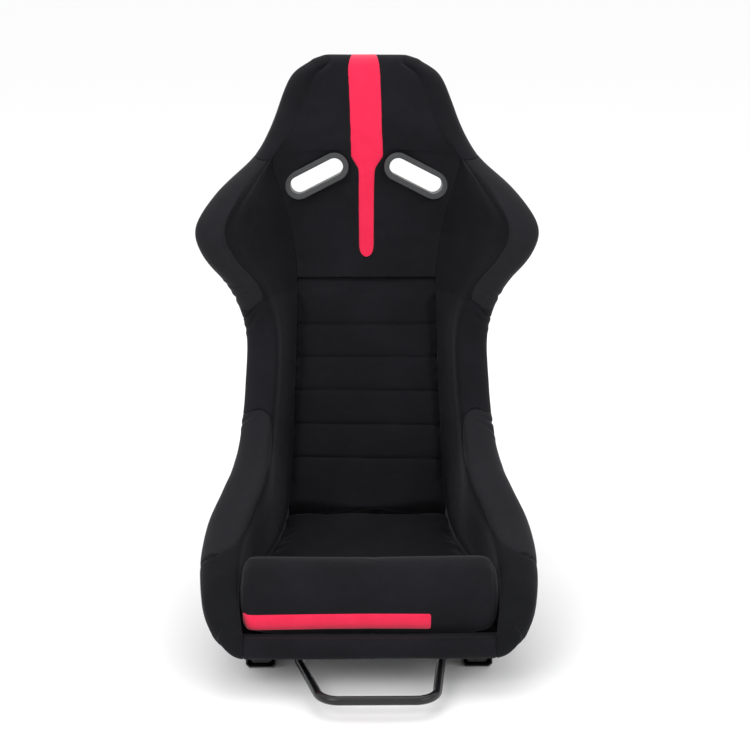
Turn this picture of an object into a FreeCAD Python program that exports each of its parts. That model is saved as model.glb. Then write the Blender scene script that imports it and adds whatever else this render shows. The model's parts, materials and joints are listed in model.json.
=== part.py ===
import FreeCAD, Part
import math
import os
from FreeCAD import Vector

# Racing bucket seat on a pair of ball-bearing slider rails.  Millimetres.
# Origin: centre of the four floor bolts, on the floor.  +Z up, the sitter faces -Y.

os.makedirs("parts", exist_ok=True)

# ---------------------------------------------------------------- driving sizes
SHELL_T = 5.0            # moulded shell wall
AIR = 1.5                # glue and air film between a pad and the shell
PAD_GAP = 0.8            # half the gap between two neighbouring pads
WRAP = 28.0              # how far the cover turns down outside the rim
WRAP_T = 6.0             # cover and foam thickness outside the rim
RIM_CROWN = 10.0         # foam height above the shell rim
CUSHION_BASE = 4.0       # loose cushions lie this far above the shell
CUSHION_SIDE_GAP = 3.0   # gap beside a loose cushion
CUSHION_PLACE = 70.0     # usual length of one place under a cushion
COVER_T = 2.5            # cushion cover cloth with its lining
FOAM_GAP = 0.3           # foam block clear of the inside of its cover

# Sections of the seat from the front lip to the top of the head.
# y, z: point on the inner face of the shell at the centre; lean: degrees the section
# tips from +Z towards -Y; pan: half width of the flat part; rim_x, rim_h: where the
# shell edge ends; bulge: 1 is an elliptical corner, 0 a straight wall; seam_x, seam_d:
# foot of the side padding on the visible face; pad_d: padding depth at the centre;
# band: width of the padded roll along the rim.
FIELDS = ("y", "z", "lean", "pan", "rim_x", "rim_h", "bulge", "seam_x", "seam_d", "pad_d", "band")
SECTIONS = (
    ("lip",       (-281,  68,  0, 188, 218,  34, 1.00, 190, 24, 22, 24)),
    ("front",     (-245,  66,  0, 187, 243,  78, 1.00, 197, 24, 22, 42)),
    ("thigh",     (-155,  62,  2, 184, 252, 114, 1.00, 197, 27, 24, 50)),
    ("mid",        (-55,  60,  8, 181, 246, 144, 1.00, 187, 34, 30, 54)),
    ("hip_front",  (45,  60, 16.5, 179, 228, 177, 1.00, 167, 40, 36, 58)),
    ("hip",        (125,  64, 27, 174, 217, 203, 0.90, 150, 44, 40, 54)),
    ("corner",     (187,  92, 37, 160, 211, 207, 0.85, 137, 44, 40, 48)),
    ("lumbar",     (223, 156, 47, 146, 205, 176, 0.80, 131, 42, 37, 42)),
    ("low_back",   (245, 240, 62, 134, 200, 141, 0.75, 127, 40, 36, 40)),
    ("waist",      (267, 340, 78, 126, 195, 119, 0.70, 123, 40, 36, 40)),
    ("mid_back",   (285, 440, 85, 122, 193, 116, 0.70, 120, 38, 34, 40)),
    ("neck",       (297, 520, 87, 122, 218, 140, 0.70, 119, 36, 32, 42)),
    ("wing",       (307, 580, 89, 130, 257, 178, 0.70, 125, 38, 30, 42)),
    ("shoulder",   (313, 640, 91, 144, 271, 192, 0.70, 137, 46, 30, 40)),
    ("wing_top",   (319, 695, 93, 152, 236, 158, 0.75, 152, 62, 32, 36)),
    ("nape",       (325, 742, 95, 144, 176,  92, 0.80, 157, 80, 36, 16)),
    ("head_low",   (331, 790, 96, 116, 147,  50, 0.80, 112, 50, 42, 26)),
    ("head_mid",   (337, 840, 96,  98, 128,  34, 0.80,  94, 42, 42, 26)),
    ("head_high",  (340, 868, 96,  84, 112,  28, 0.80,  80, 41, 40, 24)),
    ("head_top",   (342, 886, 96,  62,  84,  24, 0.80,  54, 38, 37, 22)),
)
LAST = len(SECTIONS) - 1
END_STEP = 40.0          # how far one place reaches beyond either end of the shell

# Where one pad or cushion ends and the next begins, as places along the sections.
LIP_END = -0.27
CUSHION_FRONT = 2.31
CUSHION_BACK = 6.06
BACK_FOOT = 6.12
BACK_TOP = 11.0
HIP_FOLD = 8.2
NECK_FOLD = 10.7
HEAD_SEAM = 15.0
HEAD_END = LAST + 0.27
SEAM = 0.01              # half the gap at a fold, in places

# Shoulder belt slots, one each side, sloping down outwards.
SLOT_X = 85.0
SLOT_AT = 13.92          # place along the sections
SLOT_TILT = 27.0
SLOT_HALF = 34.0         # half the distance between the end arcs
SLOT_R = 15.0            # half width of the opening
BEZEL_WALL = 3.0
BEZEL_R = 24.5           # outer radius of the bezel's face
BEZEL_DEPTH = 46.0       # face height above the shell's inner face
BEZEL_FACE_T = 5.0
BEZEL_FOOT_TOP = 6.0     # top of the front bezel's foot on the shell
REAR_FLANGE_T = 3.0
REAR_FLANGE_GAP = 0.4
SCREW_OUT = 20.6         # bezel screws, this far beyond the slot's centre line or end arc
SCREW_R = 1.25
SCREW_HEAD_R = 2.9

# Slider rails.
RAIL_X = 170.0           # rail centre line, left and right
LOWER_HALF = 190.0       # half length of a lower rail
UPPER_HALF = 180.0       # half length of an upper rail
PITCH = 12.0             # latch window spacing
TRAVEL = 7 * PITCH       # seat travel each way
FLOOR_HOLE_Y = 150.0     # floor bolts, front and back of the origin
FLOOR_HOLE_R = 4.25      # clearance hole for an M8 bolt
RAIL_TOP = 33.2          # top of the upper rail
BOSS_Z = 54.0            # underside of the shell's mounting bosses
SEAT_BOLT_Y = (-150.0, 70.0)
BOLT_R = 3.9
BOLT_CLEAR_R = 4.3
BOLT_HEAD_R = 5.4
BOLT_HEAD_T = 4.0
BOLT_SHANK = 28.5
SOCKET_R = 2.9           # corner radius of the hexagon socket
SPACER_R = 10.0
WASHER_R = 12.0
WASHER_T = 1.6
BOSS_R = 14.0
INSERT_DISC_R = 12.0
INSERT_R = 6.5
INSERT_BORE_R = 4.0

# Lower rail half section and upper rail half section, (outwards, up) from the rail centre.
LOWER_SECTION = (
    (0, 0), (18.7, 0), (24, 5.3), (24, 22.7), (18.7, 28), (10, 28), (10, 17), (12.2, 17),
    (12.2, 25.8), (17.8, 25.8), (21.8, 21.8), (21.8, 6.2), (17.8, 2.2), (0, 2.2),
)
UPPER_SECTION = (
    (0, 33.2), (7.8, 33.2), (7.8, 8.2), (11.6, 8.2), (14, 10.6), (14, 20.5), (16.2, 18.3),
    (16.2, 9.7), (12.5, 6), (5.6, 6), (5.6, 31), (0, 31),
)
UPPER_OUTLINE = (
    (0, 33.2), (7.8, 33.2), (7.8, 15.5), (14, 15.5), (14, 20.5), (16.2, 18.3), (16.2, 9.7),
    (12.5, 6), (0, 6),
)
BALL_R = 3.1
BALL_ROWS = ((16.6, 5.55, -45.0), (17.5, 21.55, 45.0))
BALL_Y = (-60.0, -20.0, 20.0, 60.0)
RETAINER_HALF = 72.0
RETAINER_W = 6.8
RETAINER_T = 1.2
SHEET = 2.2              # pressed steel thickness of rails and brackets
STOP_TOP = 5.5           # stops on the rail floor, low enough for the end caps to pass over
STOP_HALF = 5.0
STOP_LENGTH = 12.0
TAB_HALF_X = 5.6         # tab under each upper rail that meets the stops
TAB_HALF_Y = 6.0
TAB_TOP = 16.0
STOP_PLAY = 0.5          # left between tab and stop at the end of the travel
CAP_T = 5.0
CAP_RIBS = (-5.0, 0.0, 5.0)
CAP_RIB_Z = (9.0, 30.0)

# Latch: a sprung lever each side, joined by the release bar.
PIVOT_Y = 110.0
PIVOT_Z = 24.0
PIN_R = 4.0
RACK_Y = (-170.0, 50.0)
RACK_FOOT = 6.0
RACK_TOP = 14.2
RACK_X = (RAIL_X - 40.0, RAIL_X - 24.0)
WINDOW_X = (RAIL_X - 37.0, RAIL_X - 28.0)
WINDOW_HALF = 3.5
LEVER_X = (RAIL_X - 34.0, RAIL_X - 31.0)
LEVER_OUTLINE = (        # (y, z), clockwise from below the pivot
    (PIVOT_Y + 8, 17), (PIVOT_Y + 8, 31), (PIVOT_Y - 12, 31), (30, 30), (-84, 30), (-88, 26),
    (-88, 23), (-84, 20.4), (PIVOT_Y - 12, 17),
)
TOOTH_Y = (-72.0, -60.0, -48.0)
TOOTH_OUTLINE = ((-2.3, 21.5), (2.3, 21.5), (2.3, 15.4), (1.5, 14.7), (-1.5, 14.7), (-2.3, 15.4))
EAR_X = (RAIL_X - 38.2, RAIL_X - 36.0)
EAR_HALF = 10.0
BRACKET_EDGE_X = RAIL_X + 7.8
PIVOT_PLATE_HALF = 14.0
SPRING_PLATE_HALF = 11.0
SPRING_POST_X = RAIL_X - 12.0
SPRING_SHELF_X = RAIL_X - 46.0
SPRING_TAB_X = RAIL_X - 45.0
SPRING_TAB_HALF = 7.0
SPRING_Y = -20.0
SPRING_Z = (30.0, 47.8)  # seat on the lever's tab and underside of the bracket's shelf
SPRING_X = RAIL_X - 39.0
SPRING_PITCH = 5.0
SPRING_R = 4.0
SPRING_WIRE_R = 0.7
SPRING_END = 0.8         # coil ends stay this far from both seats
RIVET_Y = (PIVOT_Y - 8, PIVOT_Y + 8, SPRING_Y - 6, SPRING_Y + 6)
RIVET_R = 2.5
RIVET_CLEAR_R = 2.55
BAR_R = 7.0
BAR_PATH = (             # (x, y) of the release bar's corners, from one lever to the other
    (-129, -40), (-129, -85), (-108, -230), (-72, -364), (98, -364), (111, -232), (129, -85), (129, -40),
)
BAR_Z = 28.0
BAR_BEND = 34.0
BAR_WIDE_BEND = 60.0     # at corners flatter than BAR_WIDE_ANGLE (radians)
BAR_WIDE_ANGLE = 2.3

# Front bolster: outline (y, z) from the front foot over the top to the back foot.
ROLL_CURVE = (
    (-250, 86), (-268, 92.5), (-277, 104), (-278, 122), (-270, 147), (-252, 170), (-226, 186),
    (-196, 192), (-167, 182), (-147, 155), (-135, 121), (-131, 94), (-135, 73),
)
ROLL_FOOT = ((-205, 72), (-213, 85))
ROLL_X = (-190.5, 193.0)
STRIPE_X = (-189.0, 92.0)
STRIPE_T = 1.2
STRIPE_LOW = (-276.0, 102.0)
STRIPE_HIGH = (-276.5, 129.0)

# Head stripe: (place, half width) from its rounded tip to the top of the head.
HEAD_STRIPE = (
    (11.55, 2.0), (11.62, 8.0), (11.75, 11.0), (12.0, 12.3), (13.9, 13.0), (14.15, 14.0),
    (14.75, 25.0), (15.0, 26.0), (HEAD_END, 26.5),
)

# Pad over the shell's front edge: (behind, above) the edge, over the top and down the front.
LIP_X = 188.0
LIP_OUTLINE = (
    (28, AIR), (28, 13), (18, 20), (3, 22), (-7, 15), (-11, 5), (-10, -5), (-5, -11),
)
LIP_UNDER = 11.0         # pad's underside below the edge
LIP_BACK = 0.7           # place where the pad ends under the shell

# Hook strips under the loose cushions: first place, last place, inner x, outer x.
HOOK_STRIPS = ((2.6, 5.4, 50, 80), (6.6, 10.4, 50, 75), (1.64, 1.95, 60, 110))
HOOK_LOW = 0.3
HOOK_HIGH = 3.6


# ---------------------------------------------------------------- section curves
def blend(values, place):
    """Catmull-Rom value at a place between evenly numbered knots."""
    last = len(values) - 1
    i = min(max(int(math.floor(place)), 0), last - 1)
    t = place - i
    b, c = values[i], values[i + 1]
    a = values[i - 1] if i > 0 else 2 * b - c
    d = values[i + 2] if i + 2 <= last else 2 * c - b
    linear = c - a
    square = 2 * a - 5 * b + 4 * c - d
    cube = 3 * b - a - 3 * c + d
    return 0.5 * (2 * b + linear * t + square * t * t + cube * t ** 3)


COLUMNS = dict(zip(FIELDS, zip(*[values for name, values in SECTIONS])))


def section(place):
    """All section values at a place; beyond an end the last section moves straight on."""
    held = min(max(place, 0.0), float(LAST))
    sec = {field: blend(column, held) for field, column in COLUMNS.items()}
    beyond = (place - held) * END_STEP
    lean = math.radians(sec["lean"])
    sec["y"] += beyond * math.cos(lean)
    sec["z"] += beyond * math.sin(lean)
    return sec


def to_space(sec, x, depth):
    """Point at sideways x and a depth above the shell's inner face."""
    lean = math.radians(sec["lean"])
    return Vector(x, sec["y"] - depth * math.sin(lean), sec["z"] + depth * math.cos(lean))


def wall_point(sec, t):
    """Inner face of the shell: t from -1 (centre) to 0 (pan edge) to 1 (rim)."""
    if t <= 0:
        return sec["pan"] * (1 + t), 0.0
    bulge = sec["bulge"]
    reach = bulge * math.sqrt(max(0.0, 1 - (1 - t) ** 2)) + (1 - bulge) * t
    return sec["pan"] + (sec["rim_x"] - sec["pan"]) * reach, sec["rim_h"] * t


def wall_offset(sec, t, out):
    """Point a distance outside the shell's inner face."""
    step = 0.004
    low = max(t - step, -1.0)
    high = min(t + step, 1.0)
    x0, d0 = wall_point(sec, low)
    x1, d1 = wall_point(sec, high)
    length = math.hypot(x1 - x0, d1 - d0)
    x, d = wall_point(sec, t)
    return x + out * (d1 - d0) / length, d - out * (x1 - x0) / length


def wall_place(sec, x):
    """The t whose wall point lies at sideways x."""
    if x <= sec["pan"]:
        return x / sec["pan"] - 1
    low, high = 0.0, 1.0
    for _ in range(30):
        mid = (low + high) / 2
        if wall_point(sec, mid)[0] < x:
            low = mid
        else:
            high = mid
    return (low + high) / 2


def wrap_depth(sec):
    return min(WRAP, 0.6 * sec["rim_h"])


def centre_curve(sec):
    """Visible padding from the centre line out to the foot of the side padding."""
    x, d, base = sec["seam_x"], sec["seam_d"], sec["pad_d"]
    return [(0.0, base), (0.5 * x, base + 0.06 * (d - base)), (0.8 * x, base + 0.41 * (d - base)), (x, d)]


def side_curve(sec):
    """Visible padding from its foot up the wall, over the rim and down outside."""
    x, d = sec["seam_x"], sec["seam_d"]
    rim_x, rim_h, band = sec["rim_x"], sec["rim_h"], sec["band"]
    inner = rim_x - band
    run = inner - x
    rise = rim_h + 4 - d
    outer = rim_x + SHELL_T + WRAP_T
    return [
        (x, d),
        (x + 0.30 * run + min(3.0, 0.2 * run), d + 0.22 * rise),
        (x + 0.68 * run + min(2.0, 0.1 * run), d + 0.62 * rise),
        (inner, rim_h + 4),
        (rim_x - 0.5 * band, rim_h + RIM_CROWN),
        (rim_x - 0.1 * band + 3, rim_h + RIM_CROWN - 1),
        (outer, rim_h - 5),
        (outer, rim_h - wrap_depth(sec)),
    ]


def along(points, steps):
    """Evenly numbered points on the smooth curve through the given ones."""
    xs = [p[0] for p in points]
    ds = [p[1] for p in points]
    span = (len(points) - 1) / float(steps)
    return [(blend(xs, i * span), blend(ds, i * span)) for i in range(steps + 1)]


def wall_path(sec, start_x, out):
    """Closely spaced points along the shell from sideways start_x up to the rim."""
    start = wall_place(sec, start_x)
    flat = [start * (1 - i / 20.0) for i in range(20)] if start < 0 else []
    foot = max(start, 0.0)
    wall = [foot + (1 - foot) * (i / 60.0) ** 2 for i in range(61)]
    return [wall_offset(sec, t, out) for t in flat + wall]


def centre_path(sec, end_x, out):
    """Closely spaced points along the shell from the centre line out to end_x."""
    end = wall_place(sec, end_x)
    flat = [-1 + (min(end, 0.0) + 1) * i / 20.0 for i in range(21)]
    wall = [end * (i / 40.0) ** 2 for i in range(1, 41)] if end > 0 else []
    return [wall_offset(sec, t, out) for t in flat + wall]


def evenly(points, steps):
    """The same line with evenly spaced points."""
    lengths = [0.0]
    for p, q in zip(points, points[1:]):
        lengths.append(lengths[-1] + math.hypot(q[0] - p[0], q[1] - p[1]))
    result, i = [], 0
    for k in range(steps + 1):
        want = lengths[-1] * k / steps
        while i < len(points) - 2 and lengths[i + 1] < want:
            i += 1
        t = (want - lengths[i]) / (lengths[i + 1] - lengths[i])
        p, q = points[i], points[i + 1]
        result.append((p[0] + (q[0] - p[0]) * t, p[1] + (q[1] - p[1]) * t))
    return result


def back_curve(sec, start_x, steps):
    """Hidden face of a side pad: up the wall, round the rim, down outside."""
    end = 1 - wrap_depth(sec) / sec["rim_h"]
    inside = evenly(wall_path(sec, start_x, -AIR), steps - 9)
    cx, cd = wall_offset(sec, 1.0, SHELL_T / 2)
    x1, d1 = wall_offset(sec, 1.0, SHELL_T)
    nx, nd = (x1 - cx) / (SHELL_T / 2), (d1 - cd) / (SHELL_T / 2)
    radius = SHELL_T / 2 + AIR
    turn = []
    for i in range(1, 5):
        angle = math.pi * i / 4
        side, lift = -radius * math.cos(angle), radius * math.sin(angle)
        turn.append((cx + side * nx - lift * nd, cd + side * nd + lift * nx))
    outside = [wall_offset(sec, 1 + (end - 1) * i / 5, SHELL_T + AIR) for i in range(1, 6)]
    return inside + turn + outside


# ---------------------------------------------------------------- solids from grids
def spacing(lines):
    """Curve parameters from the average distance between neighbouring points."""
    total = [0.0] * len(lines[0])
    for points in lines:
        run = 0.0
        for i in range(1, len(points)):
            run += (points[i] - points[i - 1]).Length
            total[i] += run
    return [value / total[-1] for value in total]


def curve_through(points, parameters):
    curve = Part.BSplineCurve()
    curve.interpolate(Points=points, Parameters=parameters)
    return curve


def skin(grid):
    """Smooth surface through a grid; its first and last rows stay exactly flat."""
    across, down = spacing(grid), spacing(list(zip(*grid)))
    rows = [curve_through(points, across) for points in grid]
    columns = [curve_through(list(poles), down) for poles in zip(*[row.getPoles() for row in rows])]
    poles = list(zip(*[column.getPoles() for column in columns]))
    surface = Part.BSplineSurface()
    surface.buildFromPolesMultsKnots(
        [list(line) for line in poles], columns[0].getMultiplicities(), rows[0].getMultiplicities(),
        columns[0].getKnots(), rows[0].getKnots(), False, False, 3, 3)
    return surface


def slab(front, back):
    """Closed solid between two grids whose first and last rows are flat sections."""
    a, b = skin(front), skin(back)
    faces = [a.toShape(), b.toShape()]
    rows = []
    for surface in (a, b):
        u0, u1, v0, v1 = surface.bounds()
        rows.append({
            "start": surface.uIso(u0).toShape(), "end": surface.uIso(u1).toShape(),
            "left": surface.vIso(v0).toShape(), "right": surface.vIso(v1).toShape(),
        })
    for side in ("left", "right"):
        faces.append(Part.makeRuledSurface(rows[0][side], rows[1][side]))
    for row in (0, -1):
        side = "start" if row == 0 else "end"
        rungs = [Part.makeLine(front[row][i], back[row][i]) for i in (0, -1)]
        outline = Part.Wire(Part.__sortEdges__([rows[0][side], rows[1][side]] + rungs))
        faces.append(Part.Face(outline))
    body = Part.makeCompound(faces)
    body.sewShape(0.001)
    solid = Part.makeSolid(body.Shells[0])
    if solid.Volume < 0:
        solid.reverse()
    return solid


def places(first, last, per_station=3):
    count = max(4, int(round((last - first) * per_station)))
    return [first + (last - first) * i / float(count) for i in range(count + 1)]


def mirrored(shape):
    return shape.mirror(Vector(0, 0, 0), Vector(1, 0, 0))


def side_pad(first, last):
    """Right-hand (+X) side pad between two places along the seat."""
    front, back = [], []
    for place in places(first, last):
        sec = section(place)
        sec["seam_x"] += PAD_GAP
        front.append([to_space(sec, x, d) for x, d in along(side_curve(sec), 28)])
        back.append([to_space(sec, x, d) for x, d in back_curve(sec, sec["seam_x"], 28)])
    return slab(front, back)


def centre_pad(first, last):
    """Pad across the middle between the two side pads."""
    front, back = [], []
    for place in places(first, last):
        sec = section(place)
        sec["seam_x"] -= PAD_GAP
        half = along(centre_curve(sec), 11)
        hidden = evenly(centre_path(sec, sec["seam_x"], -AIR), 11)
        front.append(both_sides(sec, half))
        back.append(both_sides(sec, hidden))
    return slab(front, back)


def both_sides(sec, half):
    """Points from -X to +X for a curve that starts on the centre line."""
    left = [to_space(sec, -x, d) for x, d in reversed(half[1:])]
    return left + [to_space(sec, x, d) for x, d in half]


def full_pad(first, last):
    """Pad across the whole width, wrapped round both rims."""
    front, back = [], []
    for place in places(first, last, 4):
        sec = section(place)
        curve = along(centre_curve(sec)[:-1] + side_curve(sec), 34)
        hidden = back_curve(sec, 0.0, 34)
        front.append(both_sides(sec, curve))
        back.append(both_sides(sec, hidden))
    return slab(front, back)


def shell_grid(out, first=0, last=LAST):
    grid = []
    for place in places(first, last, 3):
        sec = section(place)
        grid.append(both_sides(sec, evenly(wall_path(sec, 0.0, out), 24)))
    return grid


def cushion(first, last, inset, top=0.0):
    """Loose cushion lying in the seat; inset shrinks every face."""
    trim = inset / CUSHION_PLACE
    front, back = [], []
    for place in places(first + trim, last - trim):
        sec = section(place)
        sec["seam_x"] -= CUSHION_SIDE_GAP + inset
        sec["pad_d"] += top - inset
        sec["seam_d"] += top - inset
        base = CUSHION_BASE + inset
        width = sec["seam_x"]
        foot = min(width, sec["pan"] - 4)
        front.append(both_sides(sec, along(centre_curve(sec), 8)))
        back.append(both_sides(sec, [(foot * i / 8.0, base) for i in range(9)]))
    return slab(front, back)


def strip(first, last, x0, x1, low, high):
    """Thin strip lying on the shell between two sideways positions."""
    grids = []
    for depth in (low, high):
        rows = [section(place) for place in places(first, last)]
        xs = [x0 + (x1 - x0) * i / 4.0 for i in range(5)]
        grids.append([[to_space(sec, x, depth) for x in xs] for sec in rows])
    return slab(*grids)


# ---------------------------------------------------------------- plain solids
def box(x0, x1, y0, y1, z0, z1):
    return Part.makeBox(x1 - x0, y1 - y0, z1 - z0, Vector(x0, y0, z0))


def rod(radius, length, base, axis=Vector(0, 0, 1)):
    return Part.makeCylinder(radius, length, base, axis)


def face(points):
    return Part.Face(Part.makePolygon(points + points[:1]))


def rail_prism(points, x, y0, y1):
    """Extrude a half section and its mirror image along Y."""
    loop = [Vector(x + side, y0, up) for side, up in points]
    loop += [Vector(x - side, y0, up) for side, up in reversed(points) if side > 0]
    return face(loop).extrude(Vector(0, y1 - y0, 0))


def yz_prism(points, x0, x1):
    loop = [Vector(x0, y, z) for y, z in points]
    return face(loop).extrude(Vector(x1 - x0, 0, 0))


def cut_all(shape, tools):
    for tool in tools:
        shape = shape.cut(tool)
    return shape


def join(shapes):
    return shapes[0].multiFuse(shapes[1:]).removeSplitter()


def one_solid(shape):
    """The single solid inside a boolean result."""
    return max(shape.Solids, key=lambda solid: solid.Volume)


NODES = {}


def add(name, shapes):
    """Keep a node: one solid, or a group of like solids."""
    solids = []
    for shape in shapes if isinstance(shapes, list) else [shapes]:
        solids += shape.Solids
    NODES[name] = solids[0] if len(solids) == 1 else Part.makeCompound(solids)


def add_pair(name, right):
    add(name + "_right", right)
    add(name + "_left", [mirrored(shape) for shape in (right if isinstance(right, list) else [right])])


# ---------------------------------------------------------------- belt slots
def slot_frame(side):
    """Placement at a slot: local X along the slot, local Z out of the seat back."""
    below, sec, above = (section(SLOT_AT + step) for step in (-0.5, 0.0, 0.5))
    up = Vector(0, above["y"] - below["y"], above["z"] - below["z"]).normalize()
    out = Vector(side, 0, 0).cross(up) * side
    tilt = math.radians(SLOT_TILT)
    across = Vector(side * math.cos(tilt), 0, 0) - up * math.sin(tilt)
    rotation = FreeCAD.Rotation(across, Vector(), out, "ZXY")
    return FreeCAD.Placement(Vector(side * SLOT_X, sec["y"], sec["z"]), rotation)


def stadium(radius, low, high):
    """Slot-shaped block of the given end radius between two heights."""
    block = box(-SLOT_HALF, SLOT_HALF, -radius, radius, low, high)
    ends = [rod(radius, high - low, Vector(x, 0, low)) for x in (-SLOT_HALF, SLOT_HALF)]
    return join([block] + ends)


def placed(shape, side):
    moved = shape.copy()
    moved.Placement = slot_frame(side)
    return moved


BEZEL_SCREWS = (
    (-SLOT_HALF - SCREW_OUT, 0), (SLOT_HALF + SCREW_OUT, 0), (0, -SCREW_OUT), (0, SCREW_OUT),
)


def slot_screw_holes(radius, low, high):
    return [rod(radius, high - low, Vector(x, y, low)) for x, y in BEZEL_SCREWS]


def flat_edges(shape, height, side):
    """Edges that lie flat at a height; side picks the top or the underside of their box."""
    return [edge for edge in shape.Edges
            if edge.BoundBox.ZLength < 0.01 and abs(getattr(edge.BoundBox, side) - height) < 0.01]


def front_bezel():
    wall = SLOT_R + BEZEL_WALL
    foot = stadium(BEZEL_R, AIR, BEZEL_FOOT_TOP)
    sleeve = stadium(wall, BEZEL_FOOT_TOP - 1, BEZEL_DEPTH)
    rim = stadium(BEZEL_R, BEZEL_DEPTH - BEZEL_FACE_T, BEZEL_DEPTH)
    body = join([foot, sleeve, rim]).cut(stadium(SLOT_R, 0, BEZEL_DEPTH + 1))
    body = body.makeFillet(1.8, flat_edges(body, BEZEL_DEPTH, "ZMin"))
    return cut_all(body, slot_screw_holes(SCREW_R + 0.05, AIR - 1, BEZEL_FOOT_TOP - 0.5))


def rear_bezel():
    wall = SLOT_R + BEZEL_WALL
    top = -SHELL_T - REAR_FLANGE_GAP
    low = top - REAR_FLANGE_T
    sleeve = stadium(wall, -SHELL_T - 1.0, AIR - 0.3)
    body = join([stadium(BEZEL_R, low, top), sleeve]).cut(stadium(SLOT_R, low - 1, AIR))
    body = body.makeFillet(1.2, flat_edges(body, low, "ZMax"))
    return cut_all(body, slot_screw_holes(SCREW_R + 0.45, low - 1, 0))


def bezel_screws():
    head_top = -SHELL_T - REAR_FLANGE_GAP - REAR_FLANGE_T
    screws = []
    for x, y in BEZEL_SCREWS:
        head = rod(SCREW_HEAD_R, 1.8, Vector(x, y, head_top - 1.8))
        screws.append(join([head, rod(SCREW_R, 13.0, Vector(x, y, head_top - 0.5))]))
    return screws


def make_slots():
    wall = SLOT_R + BEZEL_WALL
    for side, tag in ((1, "right"), (-1, "left")):
        add("slot_bezel_front_" + tag, placed(front_bezel(), side))
        add("slot_bezel_rear_" + tag, placed(rear_bezel(), side))
    screws = [placed(screw, side) for side in (1, -1) for screw in bezel_screws()]
    add("bezel_screws", screws)
    cutters = [placed(stadium(wall + 0.4, -30, 30), side) for side in (1, -1)]
    holes = slot_screw_holes(SCREW_R + 0.55, -30, 30)
    cutters += [placed(hole, side) for side in (1, -1) for hole in holes]
    return cutters


# ---------------------------------------------------------------- shell and padding
def mount_points():
    return [(side * RAIL_X, y) for side in (1, -1) for y in SEAT_BOLT_Y]


def shell_height(x, y):
    """Height of the shell's inner face over a floor position near the pan."""
    low, high = 0.0, 5.0
    for _ in range(30):
        mid = (low + high) / 2
        if section(mid)["y"] < y:
            low = mid
        else:
            high = mid
    sec = section(low)
    return wall_offset(sec, wall_place(sec, x), 0.0)[1] + sec["z"]


def make_shell(slot_cutters):
    """Moulded shell with a boss and a metal insert at each seat bolt."""
    shell = slab(shell_grid(0.0), shell_grid(SHELL_T))
    inserts = []
    for x, y in mount_points():
        top = shell_height(abs(x), y) - 0.6
        boss = rod(BOSS_R, top - 4.0 - BOSS_Z, Vector(x, y, BOSS_Z))
        shell = shell.fuse(boss)
        shell = shell.cut(rod(INSERT_DISC_R + 0.2, 12.0, Vector(x, y, top - 2.5)))
        shell = shell.cut(rod(INSERT_R + 0.2, 20.0, Vector(x, y, BOSS_Z - 5)))
        disc = rod(INSERT_DISC_R, 2.3, Vector(x, y, top - 2.4))
        stem = rod(INSERT_R, top - 1.0 - BOSS_Z, Vector(x, y, BOSS_Z + 0.2))
        insert = join([disc, stem])
        inserts.append(insert.cut(rod(INSERT_BORE_R, 40.0, Vector(x, y, BOSS_Z - 5))))
    shell = cut_all(shell, slot_cutters)
    add("shell", one_solid(shell))
    add("shell_inserts", inserts)


def make_trim():
    """Soft bead that hides the lower edge of the wrapped cover."""
    inner, outer = [], []
    for place in places(0.0, LAST, 3):
        sec = section(place)
        start = 1 - (wrap_depth(sec) + 0.8) / sec["rim_h"]
        steps = [start - 5.0 * i / 4 / sec["rim_h"] for i in range(5)]
        inner.append([to_space(sec, *wall_offset(sec, t, SHELL_T + 0.3)) for t in steps])
        outer.append([to_space(sec, *wall_offset(sec, t, SHELL_T + 4.5)) for t in steps])
    bead = slab(inner, outer)
    add_pair("edge_trim", bead)


def make_padding():
    add_pair("hip_bolster", side_pad(LIP_END, HIP_FOLD - SEAM))
    add_pair("waist_bolster", side_pad(HIP_FOLD + SEAM, NECK_FOLD - SEAM))
    add_pair("shoulder_bolster", side_pad(NECK_FOLD + SEAM, HEAD_SEAM - SEAM))
    recesses = [placed(stadium(BEZEL_R + 0.4, -10, 90), side) for side in (1, -1)]
    upper = cut_all(centre_pad(BACK_TOP + SEAM, HEAD_SEAM - SEAM), recesses)
    add("upper_back_pad", one_solid(upper))
    add("head_pad", full_pad(HEAD_SEAM + SEAM, HEAD_END))


def make_lip_pad():
    """Pad folded over the front edge of the pan."""
    edge, behind = section(0.0), section(LIP_BACK)
    y, z = edge["y"], edge["z"]
    under = -SHELL_T - AIR
    points = [(y + back, z + up) for back, up in LIP_OUTLINE]
    points += [
        (behind["y"], behind["z"] - LIP_UNDER), (behind["y"], behind["z"] + under),
        (y - AIR, z + under), (y - AIR, z + AIR),
    ]
    add("front_lip_pad", yz_prism(points, -LIP_X, LIP_X))


def cover_and_foam(name, shape_at):
    """Sewn cover round a foam block, from one shape given at several insets."""
    cavity = shape_at(COVER_T)
    add(name + "_cover", shape_at(0.0).cut(cavity))
    add(name + "_foam", shape_at(COVER_T + FOAM_GAP))


def inset_loop(points, amount):
    """Closed (y, z) outline moved inwards; the points run clockwise."""
    moved = []
    count = len(points)
    for i, (y, z) in enumerate(points):
        y0, z0 = points[i - 1]
        y1, z1 = points[(i + 1) % count]
        length = math.hypot(y1 - y0, z1 - z0)
        moved.append((y + amount * (z1 - z0) / length, z - amount * (y1 - y0) / length))
    return moved


def roll_curve(inset, x):
    """Curved part of the front bolster's outline, and all its corners."""
    loop = inset_loop(list(ROLL_CURVE + ROLL_FOOT), inset)
    corners = [Vector(x, y, z) for y, z in loop]
    curve = Part.BSplineCurve()
    curve.interpolate(corners[:len(ROLL_CURVE)])
    return curve, corners


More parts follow.
